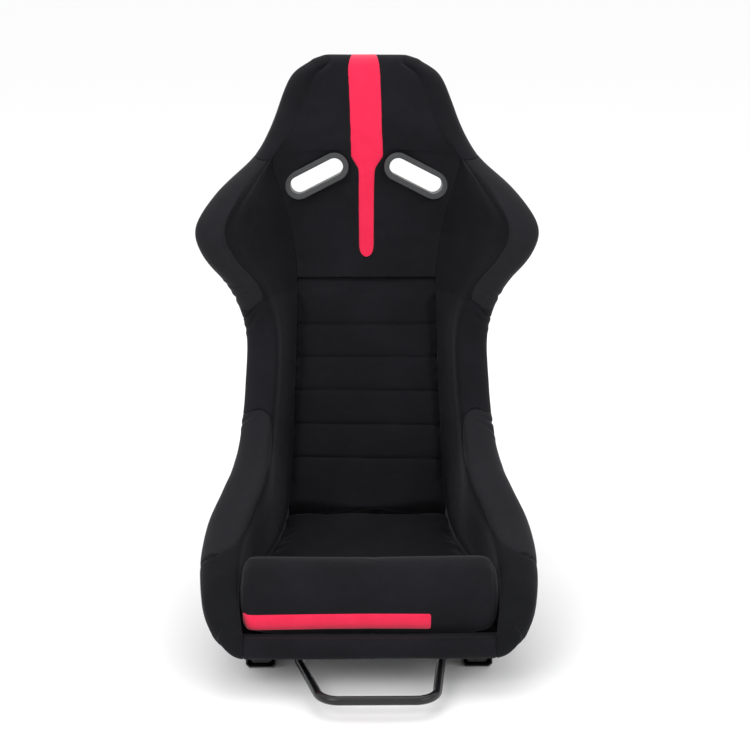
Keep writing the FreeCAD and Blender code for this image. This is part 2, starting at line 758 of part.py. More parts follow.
def roll_block(inset):
    x0, x1 = ROLL_X[0] + inset, ROLL_X[1] - inset
    curve, corners = roll_curve(inset, x0)
    edges = [curve.toShape()]
    foot = corners[len(ROLL_CURVE) - 1:] + corners[:1]
    edges += [Part.makeLine(a, b) for a, b in zip(foot, foot[1:])]
    return Part.Face(Part.Wire(edges)).extrude(Vector(x1 - x0, 0, 0))


def roll_front_line(lift):
    """Points up the lower front of the bolster, a little off its surface."""
    curve = roll_curve(-lift, 0.0)[0]
    first = curve.parameter(Vector(0, *STRIPE_LOW))
    last = curve.parameter(Vector(0, *STRIPE_HIGH))
    points = [curve.value(first + (last - first) * i / 8.0) for i in range(9)]
    return [(point.y, point.z) for point in points]


def make_cushions():
    cover_and_foam("seat_cushion", lambda inset: cushion(CUSHION_FRONT, CUSHION_BACK, inset))
    cover_and_foam("back_cushion", lambda inset: cushion(BACK_FOOT, BACK_TOP - SEAM, inset, 4.0))
    cover_and_foam("thigh_roll", roll_block)
    strips = []
    for first, last, x0, x1 in HOOK_STRIPS:
        grip = strip(first, last, x0, x1, HOOK_LOW, HOOK_HIGH)
        strips += [grip, mirrored(grip)]
    add("hook_strips", strips)


def head_stripe_half(place):
    """Half width of the head stripe at a place."""
    for (p0, w0), (p1, w1) in zip(HEAD_STRIPE, HEAD_STRIPE[1:]):
        if place <= p1:
            return w0 + (w1 - w0) * (place - p0) / (p1 - p0)
    return HEAD_STRIPE[-1][1]


def head_stripe_grid(lift):
    """Rows across the head stripe at a height above the pads."""
    grid = []
    for place in places(HEAD_STRIPE[0][0] + 0.02, HEAD_END - 0.02, 8):
        sec = section(place)
        half = head_stripe_half(place)
        xs = [half * i / 3.0 for i in range(-3, 4)]
        grid.append([to_space(sec, x, sec["pad_d"] + lift) for x in xs])
    return grid


def make_stripes():
    under, over = 0.4, 0.4 + STRIPE_T
    add("head_stripe", slab(head_stripe_grid(0.5 + over), head_stripe_grid(0.5 + under)))
    band = roll_front_line(over) + list(reversed(roll_front_line(under)))
    add("thigh_stripe", yz_prism(band, *STRIPE_X))


# ---------------------------------------------------------------- rails
def rail_top_hole(radius, y):
    return rod(radius, 6.0, Vector(RAIL_X, y, RAIL_TOP - 4))


def make_rails():
    floor_holes = [rod(FLOOR_HOLE_R, 6.0, Vector(RAIL_X, side * FLOOR_HOLE_Y, -1)) for side in (1, -1)]
    lower = rail_prism(LOWER_SECTION, RAIL_X, -LOWER_HALF, LOWER_HALF)
    add_pair("lower_rail", cut_all(lower, floor_holes))
    holes = [rail_top_hole(BOLT_CLEAR_R, y) for y in SEAT_BOLT_Y]
    holes += [rail_top_hole(RIVET_CLEAR_R, y) for y in RIVET_Y]
    upper = rail_prism(UPPER_SECTION, RAIL_X, -UPPER_HALF, UPPER_HALF)
    add_pair("upper_rail", cut_all(upper, holes))


def make_stops():
    """Blocks on the rail floors and the tabs that meet them at both ends of the travel."""
    reach = TRAVEL + TAB_HALF_Y + STOP_PLAY
    stops = [box(RAIL_X - STOP_HALF, RAIL_X + STOP_HALF, y0, y0 + STOP_LENGTH, SHEET, STOP_TOP)
             for y0 in (reach, -reach - STOP_LENGTH)]
    add("rail_stops", stops + [mirrored(stop) for stop in stops])
    tab = box(RAIL_X - TAB_HALF_X, RAIL_X + TAB_HALF_X, -TAB_HALF_Y, TAB_HALF_Y, STOP_TOP - 2.2, TAB_TOP)
    add("slide_stops", [tab, mirrored(tab)])


def end_cap(side):
    """Ribbed plug over one end of an upper rail."""
    shapes = [rail_prism(UPPER_OUTLINE, RAIL_X, side * UPPER_HALF, side * (UPPER_HALF + CAP_T))]
    y0, y1 = sorted((side * (UPPER_HALF + CAP_T - 1), side * (UPPER_HALF + CAP_T + 2)))
    for x in CAP_RIBS:
        shapes.append(box(RAIL_X + x - 1, RAIL_X + x + 1, y0, y1, *CAP_RIB_Z))
    return join(shapes)


def make_end_caps():
    caps = [end_cap(side) for side in (1, -1)]
    add("rail_end_caps", caps + [mirrored(cap) for cap in caps])


def make_balls():
    """Four rows of balls on each side, each row in its retainer strip."""
    balls, retainers = [], []
    for hand in (1, -1):
        for across, up, turn in BALL_ROWS:
            x = RAIL_X + hand * across
            strip_box = box(-RETAINER_W / 2, RETAINER_W / 2, -RETAINER_HALF, RETAINER_HALF,
                            -RETAINER_T / 2, RETAINER_T / 2)
            strip_box.rotate(Vector(0, 0, 0), Vector(0, 1, 0), hand * turn)
            strip_box.translate(Vector(x, 0, up))
            pockets = [Part.makeSphere(BALL_R + 0.08, Vector(x, y, up)) for y in BALL_Y]
            retainers.append(cut_all(strip_box, pockets))
            balls += [Part.makeSphere(BALL_R, Vector(x, y, up)) for y in BALL_Y]
    add_pair("rail_balls", balls)
    add_pair("ball_retainers", retainers)


# ---------------------------------------------------------------- seat bolts
def socket(x, y, head_low):
    """Hexagon socket in a bolt head, opening downwards."""
    mouth = Vector(x, y, head_low - 0.1)
    angles = [math.pi * i / 3 for i in range(6)]
    corners = [mouth + Vector(SOCKET_R * math.cos(a), SOCKET_R * math.sin(a), 0) for a in angles]
    return face(corners).extrude(Vector(0, 0, 2.4))


def seat_bolt(x, y):
    """Bolt from inside the upper rail up into the shell's insert."""
    head_top = RAIL_TOP - SHEET
    head_low = head_top - BOLT_HEAD_T
    head = rod(BOLT_HEAD_R, BOLT_HEAD_T, Vector(x, y, head_low)).cut(socket(x, y, head_low))
    return join([head, rod(BOLT_R, BOLT_SHANK, Vector(x, y, head_top - 0.8))])


def ring(x, y, radius, z0, z1):
    hole = rod(BOLT_CLEAR_R, z1 - z0 + 2, Vector(x, y, z0 - 1))
    return rod(radius, z1 - z0, Vector(x, y, z0)).cut(hole)


def make_seat_bolts():
    points = mount_points()
    washer_low = BOSS_Z - WASHER_T
    add("seat_bolts", [seat_bolt(x, y) for x, y in points])
    add("seat_spacers", [ring(x, y, SPACER_R, RAIL_TOP, washer_low) for x, y in points])
    add("seat_washers", [ring(x, y, WASHER_R, washer_low, BOSS_Z) for x, y in points])


# ---------------------------------------------------------------- latch
def lock_rack():
    """Angle strip along the lower rail with a row of windows for the latch teeth."""
    y0, y1 = RACK_Y
    leg = box(RACK_X[1] - SHEET, RACK_X[1], y0, y1, RACK_FOOT, RACK_TOP)
    flange = box(*RACK_X, y0, y1, RACK_TOP - SHEET, RACK_TOP)
    first = TOOTH_Y[0] - TRAVEL
    count = int(round((TOOTH_Y[-1] + TRAVEL - first) / PITCH)) + 1
    windows = []
    for i in range(count):
        y = first + i * PITCH
        windows.append(box(*WINDOW_X, y - WINDOW_HALF, y + WINDOW_HALF, RACK_TOP - 4, RACK_TOP + 1))
    return cut_all(join([leg, flange]), windows)


def lever():
    """Latch lever: strap with three teeth, a tab for the spring and the pivot bore."""
    x0, x1 = LEVER_X
    strap = yz_prism(LEVER_OUTLINE, x0, x1)
    teeth = [yz_prism([(y + dy, z) for dy, z in TOOTH_OUTLINE], x0, x1) for y in TOOTH_Y]
    tab = box(SPRING_TAB_X, x1, SPRING_Y - SPRING_TAB_HALF, SPRING_Y + SPRING_TAB_HALF,
              SPRING_Z[0] - SHEET, SPRING_Z[0])
    bore = rod(PIN_R + 0.06, 10, Vector(x0 - 3, PIVOT_Y, PIVOT_Z), Vector(1, 0, 0))
    return join([strap, tab] + teeth).cut(bore)


def rivet_holes(ys):
    return [rod(RIVET_CLEAR_R, 6, Vector(RAIL_X, y, RAIL_TOP - 1)) for y in ys]


def pivot_bracket():
    top = RAIL_TOP + SHEET
    y0, y1 = PIVOT_Y - PIVOT_PLATE_HALF, PIVOT_Y + PIVOT_PLATE_HALF
    plate = box(EAR_X[0], BRACKET_EDGE_X, y0, y1, RAIL_TOP, top)
    ear = box(*EAR_X, PIVOT_Y - EAR_HALF, PIVOT_Y + EAR_HALF, PIVOT_Z - 7, top)
    bore = rod(PIN_R, 8, Vector(RAIL_X - 40, PIVOT_Y, PIVOT_Z), Vector(1, 0, 0))
    return cut_all(join([plate, ear]), rivet_holes(RIVET_Y[:2]) + [bore])


def spring_bracket():
    top, shelf = RAIL_TOP + SHEET, SPRING_Z[1]
    y0, y1 = SPRING_Y - SPRING_PLATE_HALF, SPRING_Y + SPRING_PLATE_HALF
    post = SPRING_POST_X - SHEET
    foot = box(post, BRACKET_EDGE_X, y0, y1, RAIL_TOP, top)
    upright = box(post, SPRING_POST_X, y0, y1, RAIL_TOP, shelf + SHEET)
    ledge = box(SPRING_SHELF_X, SPRING_POST_X, y0, y1, shelf, shelf + SHEET)
    return cut_all(join([foot, upright, ledge]), rivet_holes(RIVET_Y[2:]))


def pivot_pin():
    """Headed pin with a retaining clip on the far side of the lever."""
    x = RAIL_X - 41.5
    axis = Vector(1, 0, 0)
    head = rod(6.0, 3.3, Vector(x, PIVOT_Y, PIVOT_Z), axis)
    shank = rod(PIN_R, 12.6, Vector(x + 1, PIVOT_Y, PIVOT_Z), axis)
    clip = rod(6.0, 0.9, Vector(LEVER_X[1] + 0.6, PIVOT_Y, PIVOT_Z), axis)
    return join([head, shank, clip])


def rivet(y):
    shank = rod(RIVET_R, 5.0, Vector(RAIL_X, y, RAIL_TOP - 2.4))
    head = rod(4.2, 1.4, Vector(RAIL_X, y, RAIL_TOP + SHEET))
    return join([shank, head])


def return_spring():
    low, high = SPRING_Z[0] + SPRING_END, SPRING_Z[1] - SPRING_END
    helix = Part.makeHelix((high - low) / SPRING_PITCH, high - low, SPRING_R)
    profile = Part.Wire(Part.makeCircle(SPRING_WIRE_R, Vector(SPRING_R, 0, 0), Vector(0, 1, 0)))
    coil = Part.Wire(helix).makePipeShell([profile], True, True)
    coil.translate(Vector(SPRING_X, SPRING_Y, low))
    return coil


def bar_wire():
    """Centre line of the release bar with rounded corners."""
    points = [Vector(x, y, BAR_Z) for x, y in BAR_PATH]
    edges = []
    start = points[0]
    for a, corner, b in zip(points, points[1:], points[2:]):
        before = (a - corner).normalize()
        after = (b - corner).normalize()
        angle = before.getAngle(after)
        radius = BAR_BEND if angle < BAR_WIDE_ANGLE else BAR_WIDE_BEND
        back = radius / math.tan(angle / 2)
        p, q = corner + before * back, corner + after * back
        centre = corner + (before + after).normalize() * (radius / math.sin(angle / 2))
        middle = centre + (corner - centre).normalize() * radius
        edges.append(Part.makeLine(start, p))
        edges.append(Part.Arc(p, middle, q).toShape())
        start = q
    edges.append(Part.makeLine(start, points[-1]))
    return Part.Wire(edges)


def release_bar():
    start = Vector(*BAR_PATH[0], BAR_Z)
    profile = Part.Wire(Part.makeCircle(BAR_R, start, Vector(0, 1, 0)))
    return bar_wire().makePipeShell([profile], True, False)


def make_latch():
    add_pair("lock_rack", lock_rack())
    add_pair("latch_lever", lever())
    add_pair("pivot_bracket", pivot_bracket())
    add_pair("spring_bracket", spring_bracket())
    add_pair("return_spring", return_spring())
    pin = pivot_pin()
    add("pivot_pins", [pin, mirrored(pin)])
    rivets = [rivet(y) for y in RIVET_Y]
    add("bracket_rivets", rivets + [mirrored(part) for part in rivets])
    add("release_bar", release_bar())


# ---------------------------------------------------------------- build
make_shell(make_slots())
make_trim()
make_padding()
make_lip_pad()
make_cushions()
make_stripes()
make_rails()
make_stops()
make_end_caps()
make_balls()
make_seat_bolts()
make_latch()

for name, shape in NODES.items():
    shape.exportStep("parts/%s.step" % name)
    state = "ok" if shape.isValid() else "INVALID"
    print("%-26s %2d solid(s) %10.0f mm3 %s" % (name, len(shape.Solids), shape.Volume, state))
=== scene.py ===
import json
import math

import bmesh
import bpy
import numpy as np
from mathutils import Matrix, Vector, noise
from mathutils.bvhtree import BVHTree


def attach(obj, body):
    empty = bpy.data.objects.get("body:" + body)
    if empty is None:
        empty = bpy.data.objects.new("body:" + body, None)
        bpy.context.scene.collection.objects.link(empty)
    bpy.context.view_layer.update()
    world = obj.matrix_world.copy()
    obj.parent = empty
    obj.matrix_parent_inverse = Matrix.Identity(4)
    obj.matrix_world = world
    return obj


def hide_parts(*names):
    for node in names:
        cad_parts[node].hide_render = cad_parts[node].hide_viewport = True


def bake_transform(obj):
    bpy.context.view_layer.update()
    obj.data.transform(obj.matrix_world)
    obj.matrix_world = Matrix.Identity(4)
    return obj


# Looks for a black velour racing seat on slider rails.  Shapes are worked out in millimetres
# and turned into metres where they become Blender meshes.

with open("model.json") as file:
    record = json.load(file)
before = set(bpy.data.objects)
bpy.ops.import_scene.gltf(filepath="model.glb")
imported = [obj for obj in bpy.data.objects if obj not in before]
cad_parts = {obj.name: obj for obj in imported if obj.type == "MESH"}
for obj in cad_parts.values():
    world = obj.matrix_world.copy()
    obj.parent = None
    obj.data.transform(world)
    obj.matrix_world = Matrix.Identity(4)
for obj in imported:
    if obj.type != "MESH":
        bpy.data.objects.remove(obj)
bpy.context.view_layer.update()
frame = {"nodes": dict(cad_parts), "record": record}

MM = 0.001

# ---- seat sections
# The same sections as the CAD part, in mm: y, z of the shell's inner face at the centre, lean
# in degrees, pan half width, rim x and height, corner bulge, foot of the side padding
# (x, depth), padding depth at the centre, and width of the roll along the rim.
FIELDS = ("y", "z", "lean", "pan", "rim_x", "rim_h", "bulge", "seam_x", "seam_d", "pad_d", "band")
SECTIONS = (
    (-281, 68, 0, 188, 218, 34, 1.00, 190, 24, 22, 24),
    (-245, 66, 0, 187, 243, 78, 1.00, 197, 24, 22, 42),
    (-155, 62, 2, 184, 252, 114, 1.00, 197, 27, 24, 50),
    (-55, 60, 8, 181, 246, 144, 1.00, 187, 34, 30, 54),
    (45, 60, 16.5, 179, 228, 177, 1.00, 167, 40, 36, 58),
    (125, 64, 27, 174, 217, 203, 0.90, 150, 44, 40, 54),
    (187, 92, 37, 160, 211, 207, 0.85, 137, 44, 40, 48),
    (223, 156, 47, 146, 205, 176, 0.80, 131, 42, 37, 42),
    (245, 240, 62, 134, 200, 141, 0.75, 127, 40, 36, 40),
    (267, 340, 78, 126, 195, 119, 0.70, 123, 40, 36, 40),
    (285, 440, 85, 122, 193, 116, 0.70, 120, 38, 34, 40),
    (297, 520, 87, 122, 218, 140, 0.70, 119, 36, 32, 42),
    (307, 580, 89, 130, 257, 178, 0.70, 125, 38, 30, 42),
    (313, 640, 91, 144, 271, 192, 0.70, 137, 46, 30, 40),
    (319, 695, 93, 152, 236, 158, 0.75, 152, 62, 32, 36),
    (325, 742, 95, 144, 176, 92, 0.80, 157, 80, 36, 16),
    (331, 790, 96, 116, 147, 50, 0.80, 112, 50, 42, 26),
    (337, 840, 96, 98, 128, 34, 0.80, 94, 42, 42, 26),
    (340, 868, 96, 84, 112, 28, 0.80, 80, 41, 40, 24),
    (342, 886, 96, 62, 84, 24, 0.80, 54, 38, 37, 22),
)
LAST = len(SECTIONS) - 1
SHELL_T = 5.0  # moulded shell wall
AIR = 1.5  # glue line between pad and shell
WRAP = 28.0  # how far the cover turns down outside the rim
WRAP_T = 6.0  # cover thickness outside the rim
RIM_CROWN = 10.0  # padding above the shell's rim
SEAM_RISE = 4.0  # seam of the outer roll above the shell's rim
BACK_TOP = 11.0  # place where the back cushion ends
HIP_FOLD = 8.2  # place of the fold between hip and waist
LIP_END = 0.74  # place where the front lip pad ends under the front bolster
NECK_FOLD = 10.7  # place of the fold under the shoulder wing
HEAD_SEAM = 15.0  # place where the head pad begins

# A place along the seat is a section's number; places in between are interpolated.
TABLE_STEP = 0.02
TABLE_PLACES = np.arange(0.0, LAST + TABLE_STEP / 2, TABLE_STEP)
SMOOTHING = 0.17  # spread of the smoothing along the seat, in places


def spline(a, b, c, d, t):
    """Catmull-Rom value a share t of the way from b to c, with a and d as outer neighbours."""
    square = 2 * a - 5 * b + 4 * c - d
    cube = 3 * b - a - 3 * c + d
    return 0.5 * (2 * b + (c - a) * t + square * t ** 2 + cube * t ** 3)


def catmull(values, place):
    """Catmull-Rom value between evenly numbered knots (arrays of places allowed)."""
    values = np.asarray(values, float)
    padded = np.concatenate(([2 * values[0] - values[1]], values, [2 * values[-1] - values[-2]]))
    index = np.clip(np.floor(place).astype(int), 0, len(values) - 2)
    return spline(*(padded[index + k] for k in range(4)), place - index)


def softened(values):
    """Fine table of one section value, gently smoothed along the seat."""
    fine = catmull(values, TABLE_PLACES)
    reach = int(3 * SMOOTHING / TABLE_STEP)
    kernel = np.exp(-0.5 * (np.arange(-reach, reach + 1) * TABLE_STEP / SMOOTHING) ** 2)
    padded = np.pad(fine, reach, mode="reflect", reflect_type="odd")
    return np.convolve(padded, kernel / kernel.sum(), "valid")


TABLE = {name: softened(column) for name, column in zip(FIELDS, zip(*SECTIONS))}


def share_of(value, start, end):
    """How far a value has come from start to end, from 0 to 1."""
    return np.clip((value - start) / (end - start), 0.0, 1.0)


def eased(share):
    """A share from 0 to 1 with a soft start and a soft end."""
    return share * share * (3 - 2 * share)


def sections(place):
    """Section values for an array of places."""
    return {name: np.interp(place, TABLE_PLACES, column) for name, column in TABLE.items()}


def to_space(sec, x, depth, ahead=0.0):
    """Points in metres, sideways x, depth above the shell's inner face, ahead along the seat."""
    lean = np.radians(sec["lean"])
    y = sec["y"] - depth * np.sin(lean) + ahead * np.cos(lean)
    z = sec["z"] + depth * np.cos(lean) + ahead * np.sin(lean)
    return np.stack([x + 0 * y, y, z], axis=-1) * MM


def wall(sec, t, out):
    """Sideways x and depth of a point a distance outside the shell's inner face."""
    def inner(at):
        rise = np.clip(at, 0.0, 1.0)
        reach = sec["bulge"] * np.sqrt(np.maximum(0.0, 1 - (1 - rise) ** 2)) + (1 - sec["bulge"]) * rise
        x = sec["pan"] * (1 + np.minimum(at, 0.0)) + (sec["rim_x"] - sec["pan"]) * reach
        return x, sec["rim_h"] * rise
    step = 0.02
    x0, d0 = inner(np.maximum(t - step, -1.0))
    x1, d1 = inner(np.minimum(t + step, 1.0))
    length = np.hypot(x1 - x0, d1 - d0)
    x, d = inner(t)
    return x + out * (d1 - d0) / length, d - out * (x1 - x0) / length


def wall_start(sec):
    """How far up the wall the foot of the side padding lies, from -1 (centre) to 1 (rim)."""
    steps = np.linspace(-1, 1, 200)
    spread = {name: value[..., None] for name, value in sec.items()}
    x, _ = wall(spread, steps + 0 * spread["pan"], 0.0)
    reached = (x < spread["seam_x"]).sum(axis=-1)
    return steps[np.minimum(reached, len(steps) - 1)]


def wrap_end(sec, beyond=0.0):
    """How far up the wall the hem of the cover lies outside the shell, or mm beyond the hem."""
    return 1 - (np.minimum(WRAP, 0.6 * sec["rim_h"]) + beyond) / sec["rim_h"]


def cross_curve(controls, u):
    """Catmull-Rom through control points given as a list of (x, depth) arrays."""
    result = []
    for axis in (0, 1):
        column = np.stack([np.broadcast_to(point[axis], u.shape) for point in controls], axis=-1)
        first = 2 * column[..., :1] - column[..., 1:2]
        last = 2 * column[..., -1:] - column[..., -2:-1]
        padded = np.concatenate((first, column, last), axis=-1)
        index = np.clip(np.floor(u).astype(int), 0, len(controls) - 2)
        near = (np.take_along_axis(padded, (index + k)[..., None], axis=-1)[..., 0] for k in range(4))
        result.append(spline(*near, u - index))
    return result


def centre_controls(sec):
    """Cross curve of the middle, from the centre line to the foot of the side padding."""
    x, d, base = sec["seam_x"], sec["seam_d"], sec["pad_d"]
    return [(0 * x, base), (0.5 * x, base + 0.06 * (d - base)), (0.8 * x, base + 0.41 * (d - base)), (x, d)]


def side_controls(sec):
    """Cross curve of a side pad: inner panel, outer roll, over the rim and down to the hem."""
    x, d = sec["seam_x"], sec["seam_d"]
    rim_x, rim_h, band = sec["rim_x"], sec["rim_h"], sec["band"]
    run = rim_x - band - x
    rise = rim_h + SEAM_RISE - d
    outer = rim_x + SHELL_T + WRAP_T
    return [
        (x, d),
        (x + 0.30 * run + np.minimum(3.0, 0.2 * run), d + 0.22 * rise),
        (x + 0.68 * run + np.minimum(2.0, 0.1 * run), d + 0.62 * rise),
        (rim_x - band, rim_h + SEAM_RISE),
        (rim_x - 0.5 * band, rim_h + RIM_CROWN),
        (rim_x - 0.1 * band + 3, rim_h + RIM_CROWN - 1),
        (outer, rim_h - 5),
        (outer, rim_h * wrap_end(sec)),
    ]


# One continuous cover: w runs across it from 0 at the centre line to 10 at the hem.
FOOT_W = 3.0  # foot of the side padding
SEAM_W = 6.0  # seam of the outer roll
RIM_W = (7.5, 8.0)  # inner and outer edge of the shell's rim
HEM_W = 10.0  # hem outside the shell


def cover(place, w):
    """Visible face of the padding at arrays of places and cross positions (left is negative)."""
    sec = sections(place)
    x, depth = cross_curve(centre_controls(sec)[:-1] + side_controls(sec), np.abs(w))
    return to_space(sec, np.sign(w) * x, depth)


def glued_face(place, w):
    """Hidden face: along the shell, up its wall, over the rim and down outside."""
    sec = sections(place)
    start, end = wall_start(sec), wrap_end(sec)
    across = np.abs(w)
    inner = np.where(across < FOOT_W, -1 + (start + 1) * across / FOOT_W,
                     start + (1 - start) * share_of(across, FOOT_W, RIM_W[0]))
    x0, d0 = wall(sec, inner, -AIR)
    x1, d1 = wall(sec, 1 + (end - 1) * share_of(across, RIM_W[1], HEM_W), SHELL_T + AIR)
    turn = share_of(across, *RIM_W)
    x = x0 + (x1 - x0) * turn
    depth = d0 + (d1 - d0) * turn + (AIR + 1.0) * np.sin(np.pi * turn)
    return to_space(sec, np.sign(w) * x, depth)


def under_face(place, w, gap):
    """Outside of the shell where a free end wraps under it, at a distance from the shell."""
    sec = sections(place)
    start, end = wall_start(sec), wrap_end(sec)
    across = np.abs(w)
    t = np.where(across < FOOT_W, -1 + (start + 1) * across / FOOT_W,
                 start + (end - start) * (across - FOOT_W) / (HEM_W - FOOT_W))
    x, depth = wall(sec, t, SHELL_T + gap)
    return to_space(sec, np.sign(w) * x, depth)


# ---- grids
def stations(first, last, count, fine=()):
    """Count places from first to last, packed closer round fine ones (place, reach, gain)."""
    dense = np.linspace(first, last, 2000)
    weight = np.ones_like(dense)
    for place, reach, gain in fine:
        weight += gain * np.exp(-((dense - place) / reach) ** 2)
    total = np.concatenate(([0.0], np.cumsum(0.5 * (weight[1:] + weight[:-1]))))
    return np.interp(np.linspace(0, total[-1], count), total, dense)


def relax(grid, passes):
    """Evens out a grid of points; its outline stays where it is."""
    for _ in range(passes):
        grid[1:-1] = 0.25 * grid[:-2] + 0.5 * grid[1:-1] + 0.25 * grid[2:]
        grid[:, 1:-1] = 0.25 * grid[:, :-2] + 0.5 * grid[:, 1:-1] + 0.25 * grid[:, 2:]
    return grid


def normals(grid):
    """Unit normals of a grid of points."""
    down, across = np.gradient(grid, axis=(0, 1))
    return unit(np.cross(across, down))


def unit(vectors):
    """Vectors brought to length 1."""
    return vectors / np.maximum(np.linalg.norm(vectors, axis=-1, keepdims=True), 1e-12)


def run_lengths(grid, axis):
    """Distance along one axis of a grid from its first line, in mm."""
    steps = np.linalg.norm(np.diff(grid, axis=axis), axis=-1) / MM
    return np.insert(np.cumsum(steps, axis=axis), 0, 0.0, axis=axis)


def border_distances(grid):
    """Distance in mm of each point from the first and last row and the first and last column."""
    rows, columns = run_lengths(grid, 0), run_lengths(grid, 1)
    return {"start": rows, "end": rows[-1:] - rows, "left": columns, "right": columns[:, -1:] - columns}


def rolled(distance, radius):
    """How far a rounded edge has turned down at a distance from it."""
    inside = np.clip(radius - distance, 0.0, radius)
    return radius - np.sqrt(np.maximum(radius ** 2 - inside ** 2, 0.0))


def groove(distance, depth, width):
    """Pull of a sewn seam: sharp at the stitches, soft beside them."""
    return depth * (0.55 * np.exp(-distance / width) + 0.45 * np.exp(-distance / (4 * width)))


def wrinkle(distance):
    """Pull of a wrinkle: a soft furrow with a slight swell beside it."""
    depth, width = FURROW
    height, spread, middle = RIDGE
    return depth * np.exp(-(distance / width) ** 2) - height * np.exp(-((distance - middle) / spread) ** 2)


def line_distance(points, line):
    """Distance in mm from each point to a dense line of points."""
    flat = points.reshape(-1, 3)
    nearest = np.full(len(flat), 1e9)
    for start in range(0, len(line), 40):
        part = line[start:start + 40]
        gap = ((flat[:, None, :] - part[None, :, :]) ** 2).sum(axis=-1).min(axis=1)
        nearest = np.minimum(nearest, gap)
    return np.sqrt(nearest).reshape(points.shape[:-1]) / MM


def dense_path(path, count=400):
    """Closely followed version of a short list of (place, w) stops."""
    path = np.array(path, float)
    at = np.linspace(0, len(path) - 1, count)
    return catmull(path[:, 0], at), catmull(path[:, 1], at)


def lumps(points, size, height, seed):
    """Slow unevenness of hand-fitted foam and cloth, in mm."""
    offset = Vector((seed * 3.1, seed * 1.7, seed * 2.3))
    flat = points.reshape(-1, 3) / size
    values = [noise.noise(Vector(point) + offset) for point in flat]
    return height * np.array(values).reshape(points.shape[:-1])


def cover_lumps(points):
    """Unevenness of the covers glued on the shell, in mm."""
    return lumps(points, 0.08, 0.8, 1) + lumps(points, 0.03, 0.25, 2)


# ---- meshes
def add_object(name, data):
    """New object in the scene."""
    obj = bpy.data.objects.new(name, data)
    bpy.context.scene.collection.objects.link(obj)
    return obj


def mesh_object(name, points, faces):
    """New mesh object from points in metres."""
    mesh = bpy.data.meshes.new(name)
    mesh.from_pydata([tuple(point) for point in points], [], faces)
    mesh.update()
    return add_object(name, mesh)


def tube_faces(rings, count):
    """Faces of a closed tube of rings with count points each, and its two flat ends."""
    last = (rings - 1) * count
    faces = [tuple(range(count))[::-1], tuple(range(last, last + count))]
    for ring in range(rings - 1):
        for j in range(count):
            a, b = ring * count + j, ring * count + (j + 1) % count
            faces.append((a, b, b + count, a + count))
    return faces


def grid_faces(rows, columns, offset, flip):
    """Faces of a grid of points that starts at an offset in the point list."""
    faces = []
    for r in range(rows - 1):
        for c in range(columns - 1):
            a = offset + r * columns + c
            quad = (a, a + 1, a + columns + 1, a + columns)
            faces.append(quad[::-1] if flip else quad)
    return faces


def closed_slab(name, front, hidden):
    """Closed mesh between two grids of the same size, with sharp borders."""
    obj = mesh_object(name, *slab_form(front, hidden))
    shade(obj)
    return obj


def slab_form(front, back):
    """Points and faces of a closed form between two grids of the same size."""
    rows, columns = front.shape[:2]
    second = rows * columns
    faces = grid_faces(rows, columns, 0, False) + grid_faces(rows, columns, second, True)
    loop = [(0, c) for c in range(columns)] + [(r, columns - 1) for r in range(1, rows)]
    loop += [(rows - 1, c) for c in range(columns - 2, -1, -1)] + [(r, 0) for r in range(rows - 2, 0, -1)]
    ring = [r * columns + c for r, c in loop]
    faces += [(b, a, a + second, b + second) for a, b in zip(ring, ring[1:] + ring[:1])]
    return np.concatenate((front.reshape(-1, 3), back.reshape(-1, 3))), faces


def shade(obj, sharp=math.radians(50)):
    """Smooth shading with edges sharper than an angle kept crisp."""
    mesh = obj.data
    mesh.polygons.foreach_set("use_smooth", [True] * len(mesh.polygons))
    mesh.set_sharp_from_angle(angle=sharp)


def add_values(obj, name, values):
    """Point attribute for the shader; points past the given values get the last default."""
    attribute = obj.data.attributes.new(name, "FLOAT", "POINT")
    filled = np.zeros(len(obj.data.vertices), np.float32)
    filled[:len(values)] = values
    filled[len(values):] = values.mean()
    attribute.data.foreach_set("value", filled)


# ---- padding
# Seams of the outer rolls, as (place, w) stops.
BOLSTER_BAND = ((8.33, 7.6), (8.37, 7.1), (8.22, 6.45), (7.85, 5.95), (6.93, 5.75), (5.8, 5.9), (4.7, 6.1),
                (3.7, 5.95), (2.92, 5.8), (2.35, 6.2), (2.04, 6.8), (1.83, 7.8), (1.85, 8.8), (1.92, 10.0))
WING_BAND = ((15.02, 6.75), (14.33, 6.75), (13.7, 6.4), (13.15, 6.1), (12.43, 6.0), (11.71, 5.95),
             (11.04, 6.0), (10.74, 6.3), (10.62, 6.9), (10.5, 7.6))
# Short wrinkles at the folds, for each side (left of the sitter is 1) and pad, as (place, w) stops.
WRINKLES = {
    1: {
        "hip": (((7.95, 9.6), (8.0, 8.4), (8.1, 7.6)), ((7.5, 9.2), (7.7, 8.2), (7.95, 7.4))),
        "wing": (((10.75, 9.4), (10.85, 8.2), (10.9, 7.3)),),
        "waist": (((10.1, 9.3), (10.2, 8.0), (10.36, 7.2)),),
    },
    -1: {
        "hip": (((7.9, 9.4), (8.05, 8.4), (8.15, 7.9)),),
        "wing": (((10.7, 9.6), (10.85, 8.3), (10.92, 7.2)), ((11.15, 9.2), (11.1, 8.0), (11.08, 7.2))),
        "waist": (((10.02, 9.4), (10.15, 8.2), (10.36, 7.4)),),
    },
}
FLAP = 0.62  # how far a cover runs back under the shell's free edge, in places
FLAP_ROWS, TURN_ROWS = 9, 16  # rows of the flap and of the turn round the edge
GLUED_REACH = 0.12  # the glued face's turn round the edge, as a share of the cover's
NOSE_REACH = 11.0  # how far the cover stands ahead of the shell's front edge
CROWN_REACH = 13.0  # and above its top edge
SEAM_PULL = (2.4, 1.5)  # depth and width of a sewn seam
FURROW = (1.5, 3.0)  # depth and half width of a wrinkle
RIDGE = (0.8, 4.0, 7.0)  # height, half width and distance of the swell beside a wrinkle
DIP = (3.2, 7.0)  # depth and reach of the cover's dip at a belt slot
